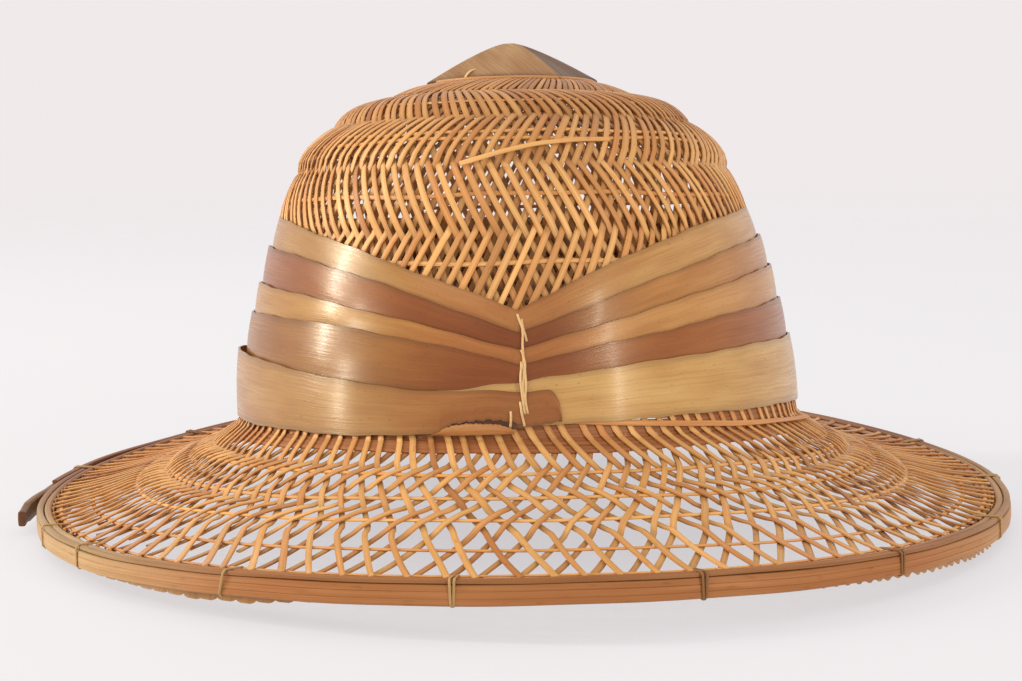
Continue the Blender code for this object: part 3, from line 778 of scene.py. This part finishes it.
band = {
    "offset": 0.0012,  # outer face of a strip's lower edge above the weave
    "thickness": 0.00060,
    "stepOut": 0.0014,  # how much farther out its upper edge stands
    "lifts": (1.0, 1.0, 1.0, 1.0, 0.3),  # shares of stepOut, strip by strip
    "cup": 0.00025,
    "wave": 0.00010,
    "edgeDark": (0.30, 0.02),  # how much darker the edges are, and over which share of the strip
    "overlap": 0.0020,
    "grainWidth": 0.016,
    "tone": np.array((0.96, 0.94, 0.82)),
    "rows": 210,
    "columns": 9,
    "tuckAngle": -15.0,
    "endAngle": 7.5,
    "endRiseStart": 330.0,
    "colours": (
        {"left": paint(171, 131, 80), "front": paint(159, 102, 55), "right": paint(208, 170, 112)},
        {"left": paint(147, 99, 46), "front": paint(140, 77, 35), "right": paint(160, 97, 48)},
        {"left": paint(175, 131, 72), "front": paint(175, 114, 64), "right": paint(198, 148, 92)},
        {"left": paint(144, 85, 38), "front": paint(131, 68, 28), "right": paint(186, 133, 78)},
        {"left": paint(169, 128, 75), "front": paint(176, 120, 70), "right": paint(196, 152, 98)},
    ),
    # from the lowest edge up, as shares of the crown's height, at -90, -30, 0, 30, 90 and 180 degrees
    "edges": (
        (0.016, 0.004, 0.027, 0.044, 0.044, 0.030),
        (0.214, 0.149, 0.148, 0.197, 0.234, 0.222),
        (0.323, 0.279, 0.192, 0.272, 0.344, 0.332),
        (0.410, 0.331, 0.230, 0.340, 0.442, 0.425),
        (0.516, 0.413, 0.272, 0.412, 0.531, 0.522),
        (0.605, 0.475, 0.334, 0.500, 0.611, 0.606),
    ),
    "fades": {"left": (6, 34), "right": (4, 30), "behind": (100, 170)},  # degrees from the front
}


def bandEdge(edge, angle):
    minusSide, minusHalf, front, plusHalf, plusSide, back = band["edges"][edge]
    plus = np.sin(angle) >= 0
    side, half = np.where(plus, plusSide, minusSide), np.where(plus, plusHalf, minusHalf)
    aside = np.abs(np.sin(angle))
    bend = 2 * (side + front - 2 * half)
    near = front + (side - front - bend) * aside + bend * aside ** 2
    far = back + (side - back) * aside ** 2
    uneven = 0.00016 * np.sin(angle * 13 + edge * 2) + 0.00012 * np.sin(angle * 37 + edge * 5)
    return np.where(np.cos(angle) >= 0, near, far) * crown["height"] + uneven


def bandSheet(bundle, strip, angles, bottom, top, outward, tints, closed, standing=0.0):
    # one leaf strip between two edge heights, slightly cupped and wavy
    across = np.linspace(0, 1, band["columns"])
    heights = bottom[:, None] + (top - bottom)[:, None] * across
    lift = band["lifts"][strip] * band["stepOut"]
    offset = band["offset"] + outward[:, None] + lift * across
    offset = offset + band["cup"] * np.sin(math.pi * across) + np.multiply.outer(standing, across)
    wave = np.sin(angles * 7 + strip * 2.1) + 0.6 * np.sin(angles * 17 + strip)
    offset = offset + band["wave"] * wave[:, None] * across
    ring = angles[:, None]
    outer = crownRing(ring, widthAt(heights), heights, offset)
    inner = crownRing(ring, widthAt(heights), heights, offset - band["thickness"])
    along = np.broadcast_to(ring * crown["halfWidth"], heights.shape)
    depth = np.broadcast_to(across * band["grainWidth"], heights.shape)
    grains = np.stack([depth, along + strip * 3, np.full(heights.shape, strip * 7.0)], -1)
    dark, reach = band["edgeDark"]
    edgeShade = 1 - dark * np.exp(-np.minimum(across, 1 - across) / reach)
    painted = tints.reshape(len(angles), -1, 3) * edgeShade[None, :, None]
    bundle.sheet(outer, inner, painted, grains, closed)


def bandTints(strip, angles):
    colours = dict(band["colours"][strip])
    colours["behind"] = blend(colours["left"], colours["right"], 0.5)
    return sideTints(angles, colours, band["fades"]) * band["tone"]


leafLook = {
    "grainScale": (1900, 34, 1), "patchScale": (150, 38, 1), "fleckScale": (900, 620, 1),
    "grainDepth": 0.42, "patchDepth": 0.55, "fleckDepth": 0.45,
    "darkTone": paint(192, 158, 122), "patchTone": paint(222, 194, 162),
    "roughness": 0.23, "bump": 0.45, "relief": 0.00007,
    "coat": 0.15, "coatRoughness": 0.16, "gloss": 0.48,
}
leaf = fibreFinish("driedLeaf", leafLook)

for strip in range(1, 5):
    bundle = Bundle()
    angles = np.linspace(0, fullTurn, band["rows"], endpoint=False)
    bottom = bandEdge(strip, angles) - band["overlap"]
    top = bandEdge(strip + 1, angles)
    flush = np.zeros_like(angles)
    bandSheet(bundle, strip, angles, bottom, top, flush, bandTints(strip, angles), True)
    slot = "band_leaf_brown" if strip in (1, 3) else "band_leaf_light"
    bundle.piece(f"bandStrip{strip + 1}", leaf, slot, [f"band_strip_{strip + 1}"])

# the lowest strip goes round over its own start, is cracked near its end and ends with a rounded corner
lowest = {
    "lapOut": 0.0008,
    "lapStep": 0.0005,  # how far the upper edge stands out where start and end lie over each other
    # how much lower the end's upper edge lies than the start's, by degrees
    "lapDips": ((-44, 0), (-37, 0.0003), (-30, 0.0008), (-23, 0.0013), (-16, 0.0016), (-8, 0.0017),
                (-4, 0.0022), (2, 0.0034), (8, 0.0036)),
    "startDip": 0.0016,
    "crackShadeColour": paint(92, 54, 34),  # painted shade: the start's lower half, seen through the crack, is painted this dark
    "cornerLength": 0.0036,
    "cornerHeight": 0.0080,
    # the crack as (degrees, height above the neck); above it the strip, below it a sliver
    "crack": ((-14.4, 0.0010), (-13.2, 0.0031), (-12, 0.0039), (-9.2, 0.00456), (-5.4, 0.0051),
              (-1.2, 0.00456), (1.2, 0.0031), (7.5, 0.0045)),
    "sliverTop": ((-15.6, 0.0010), (-14.4, 0.0018), (-13.2, 0.0030), (-12, 0.0036), (-9, 0.0042),
                  (-4, 0.0040), (-2, 0.0032), (-0.7, 0.0023)),
    "sliverBottom": ((-15.6, 0.0007), (-9, 0.0009), (-0.7, 0.0012)),
    "standOff": 0.0016,  # of its top edge at the far left
    "standAngle": 270.0,
    "standReach": 24.0,
    "rows": 220, "fineFrom": 4, "fineStep": 0.3,  # finer steps from 4 degrees before the crack
    # degrees over which each effect comes or goes
    "startFlat": (8, 18), "endFlat": (-34, -16), "startFade": (32, 50), "endFade": (-4, 0),
    "hiddenFade": (-1, 1.5), "started": 2,
    "hiddenUp": (0.45, 0.62),  # shares of the strip's height
    "sliverIn": 0.0003,
    "sliverColour": paint(200, 146, 92),
}


def tornLine(stops, turned):
    rough = 0.00012 * np.sin(turned * 3.1) + 0.00010 * np.sin(turned * 7.3 + 1)
    return alongBrim(stops, turned) + (rough + 0.00008 * np.sin(turned * 17.9))


crackStart = lowest["crack"][0][0]
fineStart = 360 + crackStart - lowest["fineFrom"]
angles = np.radians(np.concatenate([
    np.linspace(band["tuckAngle"], fineStart, lowest["rows"], endpoint=False),
    np.arange(fineStart, 360 + band["endAngle"], lowest["fineStep"]), [360 + band["endAngle"]]]))
around = np.degrees(angles)
turned = around - 360
outward = lowest["lapOut"] * ease(turned, band["endRiseStart"] - 360, band["tuckAngle"])
bottom = bandEdge(0, angles)
bottom = np.where(turned > crackStart, np.maximum(bottom, tornLine(lowest["crack"], turned)), bottom)
past = (turned - band["endAngle"]) * math.radians(1) * crown["halfWidth"] / lowest["cornerLength"]
cut = np.clip(past + 1, 0, 1)
started = ease(around, band["tuckAngle"], lowest["started"])
top = bandEdge(1, angles) - alongBrim(lowest["lapDips"], turned) - lowest["startDip"] * (1 - started)
top = top - lowest["cornerHeight"] * (1 - np.sqrt(np.maximum(0, 1 - cut ** 2)))
standing = lowest["standOff"] * np.exp(-((around - lowest["standAngle"]) / lowest["standReach"]) ** 2)
overlapped = 1 - ease(around, *lowest["startFlat"]) + ease(turned, *lowest["endFlat"])
standing = standing - (band["stepOut"] - lowest["lapStep"]) * overlapped
tints = bandTints(0, angles)
for part, share in (("front", ease(turned, *lowest["endFade"])),
                    ("right", 1 - ease(around, *lowest["startFade"]))):
    tints = tints + (band["colours"][0][part] * band["tone"] - tints) * share[:, None]
across = np.linspace(0, 1, band["columns"])
# painted shade on the start's lower half, where it shows through the crack
hiddenAlong = 1 - ease(around, *lowest["hiddenFade"])
hidden = np.multiply.outer(hiddenAlong, 1 - ease(across, *lowest["hiddenUp"]))[..., None]
tints = tints[:, None] + (lowest["crackShadeColour"] - tints[:, None]) * hidden
bundle = Bundle()
bandSheet(bundle, 0, angles, bottom, top, outward, tints, False, standing)
bundle.piece("bandStrip1", leaf, "band_leaf_light", ["band_strip_1"])

turned = np.arange(lowest["sliverTop"][0][0], lowest["sliverTop"][-1][0] + 0.01, lowest["fineStep"])
sliverTints = np.broadcast_to(lowest["sliverColour"], (len(turned), 3))
bundle = Bundle()
outward = lowest["lapOut"] * ease(turned, band["endRiseStart"] - 360, band["tuckAngle"])
outward = outward - lowest["sliverIn"]
bandSheet(bundle, 0, np.radians(360 + turned), alongBrim(lowest["sliverBottom"], turned),
          tornLine(lowest["sliverTop"], turned), outward, sliverTints, False)
bundle.piece("bandSliver", leaf, "band_leaf_light")
print("hatband folded")

# raffia stitches at the front

gather = {
    # strands as (across, up) in millimetres from the middle of the neck, lying on the band
    "strands": (
        ((-0.1, 34.0), (1.1, 29.9), (1.4, 23.4), (1.1, 19.7)),
        ((1.1, 32.5), (1.7, 29.2), (2.2, 26.2)),
        ((0.6, 24.2), (1.9, 20.2), (1.7, 12.0), (2.2, 6.3)),
        ((0.6, 21.1), (0.6, 12.0), (1.7, 6.3)),
        ((1.2, 20.4), (1.2, 13.0), (1.9, 7.2)),
    ),
    "small": (((-2.4, 7.4), (-2.4, 3.1)), ((0.2, 10.0), (0.6, 8.2), (1.2, 3.1))),
    "width": 0.00065,
    "thickness": 0.00035,
    "colour": paint(226, 194, 140),
    "points": 26,
    "clear": 0.0003,  # above the band
    "arch": 0.0004,
    "layer": 0.00012,
    "sink": 0.0009,  # how far the two ends dip into the weave
}


def bandLift(height):
    # outer face of the band at the front, above the crown
    edges = [float(bandEdge(k, np.array(0.0))) for k in range(6)]
    strip = min(4, max(0, sum(height > edge for edge in edges[1:])))
    low = edges[strip] - (band["overlap"] if strip else 0)
    share = min(1.0, max(0.0, (height - low) / (edges[strip + 1] - low)))
    if strip == 0:
        return band["offset"] + lowest["lapOut"] + share * lowest["lapStep"]
    return band["offset"] + share * band["lifts"][strip] * band["stepOut"]


raffiaLook = {
    "grainScale": (5200, 40, 1), "patchScale": (300, 60, 1), "fleckScale": (900, 300, 1),
    "grainDepth": 0.5, "patchDepth": 0.3, "fleckDepth": 0.2,
    "darkTone": paint(186, 146, 100), "patchTone": paint(232, 204, 168),
    "roughness": 0.5, "bump": 0.6, "relief": 0.00005,
    "coat": 0.0, "coatRoughness": 0.4, "gloss": 0.4,
}
raffia = fibreFinish("raffia", raffiaLook)
stitches = Bundle()
for order, strand in enumerate(gather["strands"] + gather["small"]):
    stops = np.array(strand) / 1000
    shares = np.linspace(0, len(stops) - 1, gather["points"])
    across = np.interp(shares, range(len(stops)), stops[:, 0])
    up = np.interp(shares, range(len(stops)), stops[:, 1])
    across = across + 0.00015 * np.sin(up * 700 + order * 2)
    lifts = np.array([bandLift(height) for height in up])
    smoothed = np.convolve(np.pad(lifts, 4, mode="edge"), np.ones(9) / 9, "valid")
    lifts = np.maximum(lifts, smoothed) + gather["clear"]
    lifts = lifts + gather["arch"] * np.sin(np.linspace(0, math.pi, len(lifts)))
    lifts = lifts + gather["layer"] * (order % 3)
    lifts[[0, -1]] -= gather["sink"]
    angle = across / crown["halfWidth"]
    centres = crownRing(angle, widthAt(up), up, lifts)
    normals = unit(crownRing(angle, widthAt(up), up, lifts + 0.001) - centres)
    stitches.sweep(centres, normals, gather["width"], gather["thickness"], roundSection,
                   gather["colour"])
stitches.piece("gatherStitches", raffia, "lashing")
print("stitches sewn")

# rim hoops and lashings

hoops = {
    "outerWidth": 0.0023, "middleWidth": 0.0020, "innerWidth": 0.0016, "innerHeight": 0.0044,
    "innerGap": 0.0017,  # for the weave, outside of the inner hoop
    "innerBelow": 0.0020,  # its top below the bundle's
    "middleShare": 0.3,  # of half its height, where its two splints meet
    "clearance": 0.0003,
    "narrowStep": (0.0004, 3),  # the outer hoop's narrow splint lies farther in and ends sooner, degrees
    "pitch": 1.4,  # degrees from one ring of points to the next
    "swollen": 1.03,  # the splints are this much taller than their share, so that they meet
    # the broken end of the broad splint: degrees before it, how much taller, then how much lower
    "thickFrom": (14, 3), "taller": 0.25, "brokenFrom": 7, "lower": 0.35, "ragged": 0.10,
    "brokenDark": 0.8,
    "broadShare": 0.80,  # of the outer hoop's height that its one broad splint takes
    "frontSag": 0.0006,
    "start": -102.0, "lapRise": (236.0, 252.0), "tail": (268.0, 280.5), "tailSpread": 0.0030,
    "fades": {"left": (25, 60), "right": (40, 85), "behind": (84, 108)},  # degrees from the front
    "backMiddle": 12,
    "front": paint(178, 121, 73), "left": paint(196, 164, 116), "right": paint(204, 160, 104),
    "behind": paint(166, 116, 78), "dark": paint(124, 78, 50),
    # the broad splint's section, with shallow grooves along its face, and the painted shade of each
    # corner: darker below, at the sides and in the grooves
    "broadSection": ((-0.5, -0.3), (-0.42, -0.5), (0.42, -0.5), (0.5, -0.3), (0.5, 0.22), (0.45, 0.44),
                     (0.20, 0.5), (0.17, 0.44), (0.14, 0.5), (-0.13, 0.5), (-0.16, 0.44), (-0.19, 0.5),
                     (-0.45, 0.44), (-0.5, 0.22)),
    "broadShades": [(shade, shade * 0.97, shade * 0.94) for shade in (
        0.6, 0.6, 0.6, 0.6, 0.7, 0.97, 1, 0.92, 1, 1, 0.92, 1, 0.88, 0.55)],
}
caneLook = {
    "grainScale": (2300, 22, 1), "patchScale": (160, 26, 1), "fleckScale": (800, 160, 1),
    "grainDepth": 0.34, "patchDepth": 0.45, "fleckDepth": 0.3,
    "darkTone": paint(192, 156, 124), "patchTone": paint(216, 190, 162),
    "roughness": 0.42, "bump": 0.6, "relief": 0.00008,
    "coat": 0.04, "coatRoughness": 0.4, "gloss": 0.3,
}
rimCane = fibreFinish("rimCane", caneLook)


def lapInset(angle):
    lapped = (hoops["outerWidth"] + hoops["clearance"]) * ease(angle, *np.radians(hoops["lapRise"]))
    start, end = np.radians(hoops["tail"])
    return -lapped - hoops["tailSpread"] * np.maximum(0, angle - start) / (end - start)


def hoopSplint(bundle, start, end, inset, width, low, high, light=1.0, lapped=False, broad=False):
    # one splint of a hoop, between two heights
    closed = not lapped
    count = int((end - start) / hoops["pitch"])
    angles = np.radians(np.linspace(start, end, count, endpoint=not closed))
    phase = seeded.random() * fullTurn
    drift = 0.00012 * np.sin(angles * 9 + phase) + 0.00008 * np.sin(angles * 23 + phase)
    place = inset + width / 2 + drift
    tall = np.full_like(angles, high - low)
    heights = (low + high) / 2 + 0.6 * drift
    tints = sideTints(angles, hoops, hoops["fades"], hoops["backMiddle"])
    tints = tints * light * (0.95 + 0.1 * seeded.random())
    section, shades = softSection, None
    if lapped:
        place = place + lapInset(angles)
    if broad:
        sag = hoops["frontSag"] * np.maximum(0, np.cos(angles)) ** 2
        tall, heights = tall + sag, heights - sag / 2
        # painted shade on the broad splint's lower corners, sides and grooves
        section, shades = hoops["broadSection"], hoops["broadShades"]
        broken = ease(np.degrees(angles), end - hoops["brokenFrom"], end)
        tints = tints + (hoops["dark"] - tints) * hoops["brokenDark"] * broken[:, None]
        farther, nearer = hoops["thickFrom"]
        thick = ease(np.degrees(angles), end - farther, end - nearer)
        ragged = hoops["ragged"] * np.sin(angles * 61) * (broken > 0.2)
        tall = tall * (1 + hoops["taller"] * thick - hoops["lower"] * broken - ragged)
    centres = rimPoint(angles, place, heights)
    normals = unit(rimPoint(angles, place - 0.001, heights) - centres)
    bundle.sweep(centres, normals, tall * hoops["swollen"], width, section, tints, closed, shades)


half = rim["hoopHeight"] / 2
split = blend(-half, half, hoops["broadShare"])
outer, middle, inner = Bundle(), Bundle(), Bundle()
narrowInset, sooner = hoops["narrowStep"]
hoopSplint(outer, hoops["start"], hoops["tail"][1], 0, hoops["outerWidth"], -half, split, 1.0,
           True, True)
hoopSplint(outer, hoops["start"], hoops["tail"][0] - sooner, narrowInset,
           hoops["outerWidth"] - narrowInset, split, half, 0.72, True)
outer.piece("outerHoop", rimCane, "rim_cane", ["rim_hoop_outer"])
meeting = half * hoops["middleShare"]
for low, high, light in ((-half, meeting, 0.9), (meeting, half, 0.8)):
    hoopSplint(middle, 0, 360, rim["middleInset"], hoops["middleWidth"], low, high, light)
middle.piece("middleHoop", rimCane, "rim_cane", ["rim_hoop_middle"])
innerInset = rim["weaveInset"] + hoops["innerGap"]
innerTop = half - hoops["innerBelow"]
innerMiddle, innerLow = innerTop - hoops["innerHeight"] / 2, innerTop - hoops["innerHeight"]
for low, high, light in ((innerMiddle, innerTop, 0.85), (innerLow, innerMiddle, 0.9)):
    hoopSplint(inner, 0, 360, innerInset, hoops["innerWidth"], low, high, light)
inner.piece("innerHoop", rimCane, "rim_cane", ["rim_hoop_inner"])

lashings = {
    "first": -7.0, "pitch": 24.0, "count": 12, "extra": (-68.0, -55.0, -31.0),
    "width": 0.00065, "thickness": 0.00040, "pair": 0.00085,
    "colour": paint(186, 154, 104), "brown": paint(140, 100, 62),
    "brownOnes": (2, 3, 8, 11),
    "slants": {15: 0.0016, 13: -0.0010, 5: 0.0012, 9: -0.0012},  # sideways from top to bottom
    "single": (13, 14, 15),  # one turn instead of two
    "spare": 0.00030,  # round the bundle
    "bevel": 0.0008,
    "under": (0.0012, 0.0008),  # how much higher the loop turns inside, below the inner hoop
    "overInside": 0.0002,
    "points": 32,
}


def lashingLoop(angle, side, inset, lean):
    # once round the whole bundle, through the weave
    spare, bevel = lashings["spare"], lashings["bevel"]
    upright, level = lashings["under"]
    near, far = inset - spare, innerInset + hoops["innerWidth"] + spare
    top, low = half + spare, -half - spare - hoops["frontSag"] * max(0.0, math.cos(angle)) ** 2
    corners = ((near, low + bevel), (near, top - bevel), (near + bevel, top),
               (far - bevel, top - lashings["overInside"]), (far, top - bevel),
               (far, low + bevel + upright), (far - bevel, low + level), (near + bevel, low))
    stops = np.array(corners + corners[:1])
    shares = np.linspace(0, len(corners), lashings["points"], endpoint=False)
    insets = np.interp(shares, range(len(stops)), stops[:, 0])
    heights = np.interp(shares, range(len(stops)), stops[:, 1])
    slant = side * lashings["pair"] / 2 + 0.0003 * side * np.sin(shares / len(corners) * fullTurn)
    slant = slant + lean * heights / (2 * half)
    turns = angle + slant / rimHalfLength
    centres = rimPoint(turns, insets, heights)
    middlePoint = rimPoint(turns, (near + far) / 2, 0.0)
    return centres, unit(centres - middlePoint)


lashAngles = [lashings["first"] + lashings["pitch"] * k for k in range(lashings["count"])]
lashAngles += list(lashings["extra"])
for number, angle in enumerate(lashAngles):
    turned = math.radians(angle % 360)
    inset = float(lapInset(np.array(turned))) if turned <= math.radians(hoops["tail"][1]) else 0.0
    bundle = Bundle()
    for side in ((0,) if number + 1 in lashings["single"] else (-1, 1)):
        slant = lashings["slants"].get(number + 1, 0.0)
        centres, normals = lashingLoop(math.radians(angle), side, inset, slant)
        tint = lashings["brown"] if number + 1 in lashings["brownOnes"] else lashings["colour"]
        tint = tint * (0.9 + 0.2 * seeded.random())
        bundle.sweep(centres, normals, lashings["width"], lashings["thickness"], softSection, tint, True)
    bundle.piece(f"rimLashing{number + 1}", raffia, "lashing", [f"rim_tie_{number + 1}"])
print("rim bound")

# folded leaf cap

cap = {
    "halfDiagonal": 0.0300,
    "turn": 30.0,
    "rise": 0.0112,
    "edgeLift": 0.0003,
    "thickness": 0.00070,
    "soften": 0.0045,  # how far from the peak the folds are rounded
    "clear": 0.0003,  # above the crown
    "peakLift": 0.0010,
    "bulge": 0.0006,
    # one corner stands off the crown and reaches farther than the others
    "raisedCorner": 30.0, "cornerSpread": 26.0, "cornerLift": 0.0026, "cornerReach": 0.0022,
    "front": paint(168, 134, 92), "shade": paint(88, 58, 36), "edge": paint(72, 44, 26),
    "shadeShare": 0.8, "edgeShare": 0.7, "edgeReach": 0.05,
    "grainTurn": 0.5,  # radians
}


def capPoint(angle, share):
    # angle from +X, share from the peak out to the edge
    angle, share = np.broadcast_arrays(angle, share)
    quarter = fullTurn / 4
    turned = (angle - math.radians(cap["turn"]) + quarter / 2) % quarter - quarter / 2
    atSide = np.abs(turned) / (quarter / 2)
    reach = cap["halfDiagonal"] * math.cos(quarter / 2) / np.cos(quarter / 2 - np.abs(turned))
    raised = np.exp(-(degreesFrom(angle, cap["raisedCorner"]) / cap["cornerSpread"]) ** 2)
    reach = reach + cap["cornerReach"] * raised
    x, y = reach * np.cos(angle), reach * np.sin(angle)
    width = np.hypot(x, y * crown["halfWidth"] / crown["halfLength"])
    ground = np.interp(width, crownWidths, crownHeights)
    low = ground + cap["clear"] + cap["edgeLift"] * atSide + cap["thickness"]
    low = low + cap["cornerLift"] * raised
    peak = crown["height"] + cap["rise"] + cap["peakLift"]
    distance = np.sqrt((share * cap["halfDiagonal"]) ** 2 + cap["soften"] ** 2) - cap["soften"]
    farthest = math.sqrt(cap["halfDiagonal"] ** 2 + cap["soften"] ** 2) - cap["soften"]
    height = peak + (low - peak) * distance / farthest
    height = height + cap["bulge"] * np.sin(share * math.pi) * (1 - atSide)
    points = np.stack([x * share, y * share, crown["neckHeight"] + height, np.ones_like(x)], -1)
    return (points @ crownMatrix.T)[..., :3], atSide


capAngles = np.linspace(0, fullTurn, 96, endpoint=False)[:, None]
capShares = np.linspace(0.01, 1, 14)[None]
outerSkin, atSide = capPoint(capAngles, capShares)
down = (0, 0, cap["thickness"])
faceTurn = (np.degrees(capAngles) - cap["turn"]) % 360
# the two faces to the right are darker
shaded = ((faceTurn > 270) | (faceTurn < 90)).astype(float) * cap["shadeShare"]
shaded = np.broadcast_to(shaded, atSide.shape)[..., None]
tints = cap["front"] + (cap["shade"] - cap["front"]) * shaded
rimmed = np.exp(-(1 - np.broadcast_to(capShares, atSide.shape)) / cap["edgeReach"])[..., None]
tints = tints + (cap["edge"] - tints) * rimmed * cap["edgeShare"]
cosine, sine = math.cos(cap["grainTurn"]), math.sin(cap["grainTurn"])
place = outerSkin @ np.array(((cosine, sine, 0), (-sine, cosine, 0), (0, 0, 0))).T
capLook = {
    **leafLook,
    "grainScale": (1900, 30, 1), "roughness": 0.5, "coat": 0.04, "grainDepth": 0.5,
    "patchTone": paint(196, 160, 128),
}
capLeaf = fibreFinish("capLeaf", capLook)
bundle = Bundle()
bundle.sheet(outerSkin, outerSkin - down, tints, place, True)
bundle.piece("leafCap", capLeaf, "cap_leaf", ["crown_cap"], 30.0)

# a rolled splint round the crown under the cap, and the stitch that holds the cap
capRing = {
    "radius": 0.0262, "width": 0.0016, "flatness": 0.8, "lift": 0.0006, "points": 120,
    "colour": paint(196, 144, 88),
}
capStitch = {
    "angle": 232.0, "reach": (0.80, 1.02), "points": 12, "arch": 0.0007, "sink": 0.0002,
    "width": 0.0008, "thickness": 0.0005, "across": (0.9, -0.4, 0),
}
angles = np.linspace(0, fullTurn, capRing["points"], endpoint=False)
ringRun = float(np.interp(capRing["radius"], crownWidths, crownRuns))
normals = weaveNormal(angles, np.full_like(angles, ringRun))
centres = weaveSurface(angles, ringRun) + normals * capRing["lift"]
bundle = Bundle()
bundle.sweep(centres, normals, capRing["width"], capRing["width"] * capRing["flatness"],
             roundSection, capRing["colour"], True)
bundle.piece("capRing", caneFibre, "woven_cane")
shares = np.linspace(*capStitch["reach"], capStitch["points"])
stitchLine, atSide = capPoint(np.full_like(shares, math.radians(capStitch["angle"])), shares)
upward = unit(np.cross(np.gradient(stitchLine, axis=0), capStitch["across"]))
upward = upward * np.sign(upward[:, 2:])
arch = capStitch["arch"] * np.sin(np.linspace(0, math.pi, capStitch["points"]))
stitchLine = stitchLine + upward * (arch - capStitch["sink"])[:, None]
bundle = Bundle()
bundle.sweep(stitchLine, upward, capStitch["width"], capStitch["thickness"], roundSection,
             gather["colour"])
bundle.piece("capStitch", raffia, "lashing")
print("cap folded")

# floor and light

studio = {
    "backdrop": (0.871, 0.823, 0.823), "lampColour": (1.0, 0.95, 0.84), "aimHeight": 0.07,
    "radius": 2.4, "fadeFrom": 0.5, "fadeTo": 2.2,
    "floor": (0.22, 0.22, 0.22, 1), "roughness": 0.85,
    "glow": (0.56, 0.55, 0.57, 1),  # keeps the shadows under the brim light
}
bpy.ops.mesh.primitive_circle_add(vertices=96, radius=studio["radius"], fill_type="NGON")
floor = bpy.context.object
floor.name = "floor"
floorFinish = Finish("paleFloor")
position = floorFinish.node("ShaderNodeNewGeometry", {}, {})
distance = floorFinish.node("ShaderNodeVectorMath", {"operation": "LENGTH"}, {0: position}, 1)
fade = floorFinish.node(
    "ShaderNodeMapRange", {"interpolation_type": "SMOOTHSTEP"},
    {"Value": distance, "From Min": studio["fadeFrom"], "From Max": studio["fadeTo"],
     "To Min": 1.0, "To Max": 0.0})
floorFinish.shader.inputs["Base Color"].default_value = studio["floor"]
floorFinish.shader.inputs["Emission Color"].default_value = studio["glow"]
floorFinish.shader.inputs["Emission Strength"].default_value = 1.0
floorFinish.shader.inputs["Roughness"].default_value = studio["roughness"]
floorFinish.feed(floorFinish.shader.inputs["Alpha"], fade)
floor.data.materials.append(floorFinish.material)

world = bpy.data.worlds.new("studio")
world.use_nodes = True
background = world.node_tree.nodes["Background"]
background.inputs["Color"].default_value = (*studio["backdrop"], 1)
background.inputs["Strength"].default_value = 1.0
bpy.context.scene.world = world
bpy.context.scene.view_settings.view_transform = "Standard"

lamps = (
    {"name": "windowLeft", "azimuth": -95, "height": 0.80, "distance": 1.7,
     "size": (0.09, 1.0), "power": 24},
    {"name": "windowLow", "azimuth": -80, "height": 0.22, "distance": 1.8,
     "size": (0.16, 0.4), "power": 6},
    {"name": "windowRight", "azimuth": 44, "height": 0.60, "distance": 1.9,
     "size": (0.10, 1.0), "power": 11},
    {"name": "softKey", "azimuth": -35, "height": 1.60, "distance": 1.5,
     "size": (1.2, 1.2), "power": 5},
)
for lamp in lamps:
    light = bpy.data.lights.new(lamp["name"], "AREA")
    light.shape = "RECTANGLE"
    light.size, light.size_y = lamp["size"]
    light.energy = lamp["power"]
    light.color = studio["lampColour"]
    holder = bpy.data.objects.new(lamp["name"], light)
    azimuth = math.radians(lamp["azimuth"])
    spot = Vector((math.sin(azimuth), -math.cos(azimuth), 0)) * lamp["distance"]
    spot.z = lamp["height"]
    holder.location = spot
    holder.rotation_mode = "QUATERNION"
    holder.rotation_quaternion = (Vector((0, 0, studio["aimHeight"])) - spot).to_track_quat("-Z", "Y")
    bpy.context.collection.objects.link(holder)
print("studio lit")
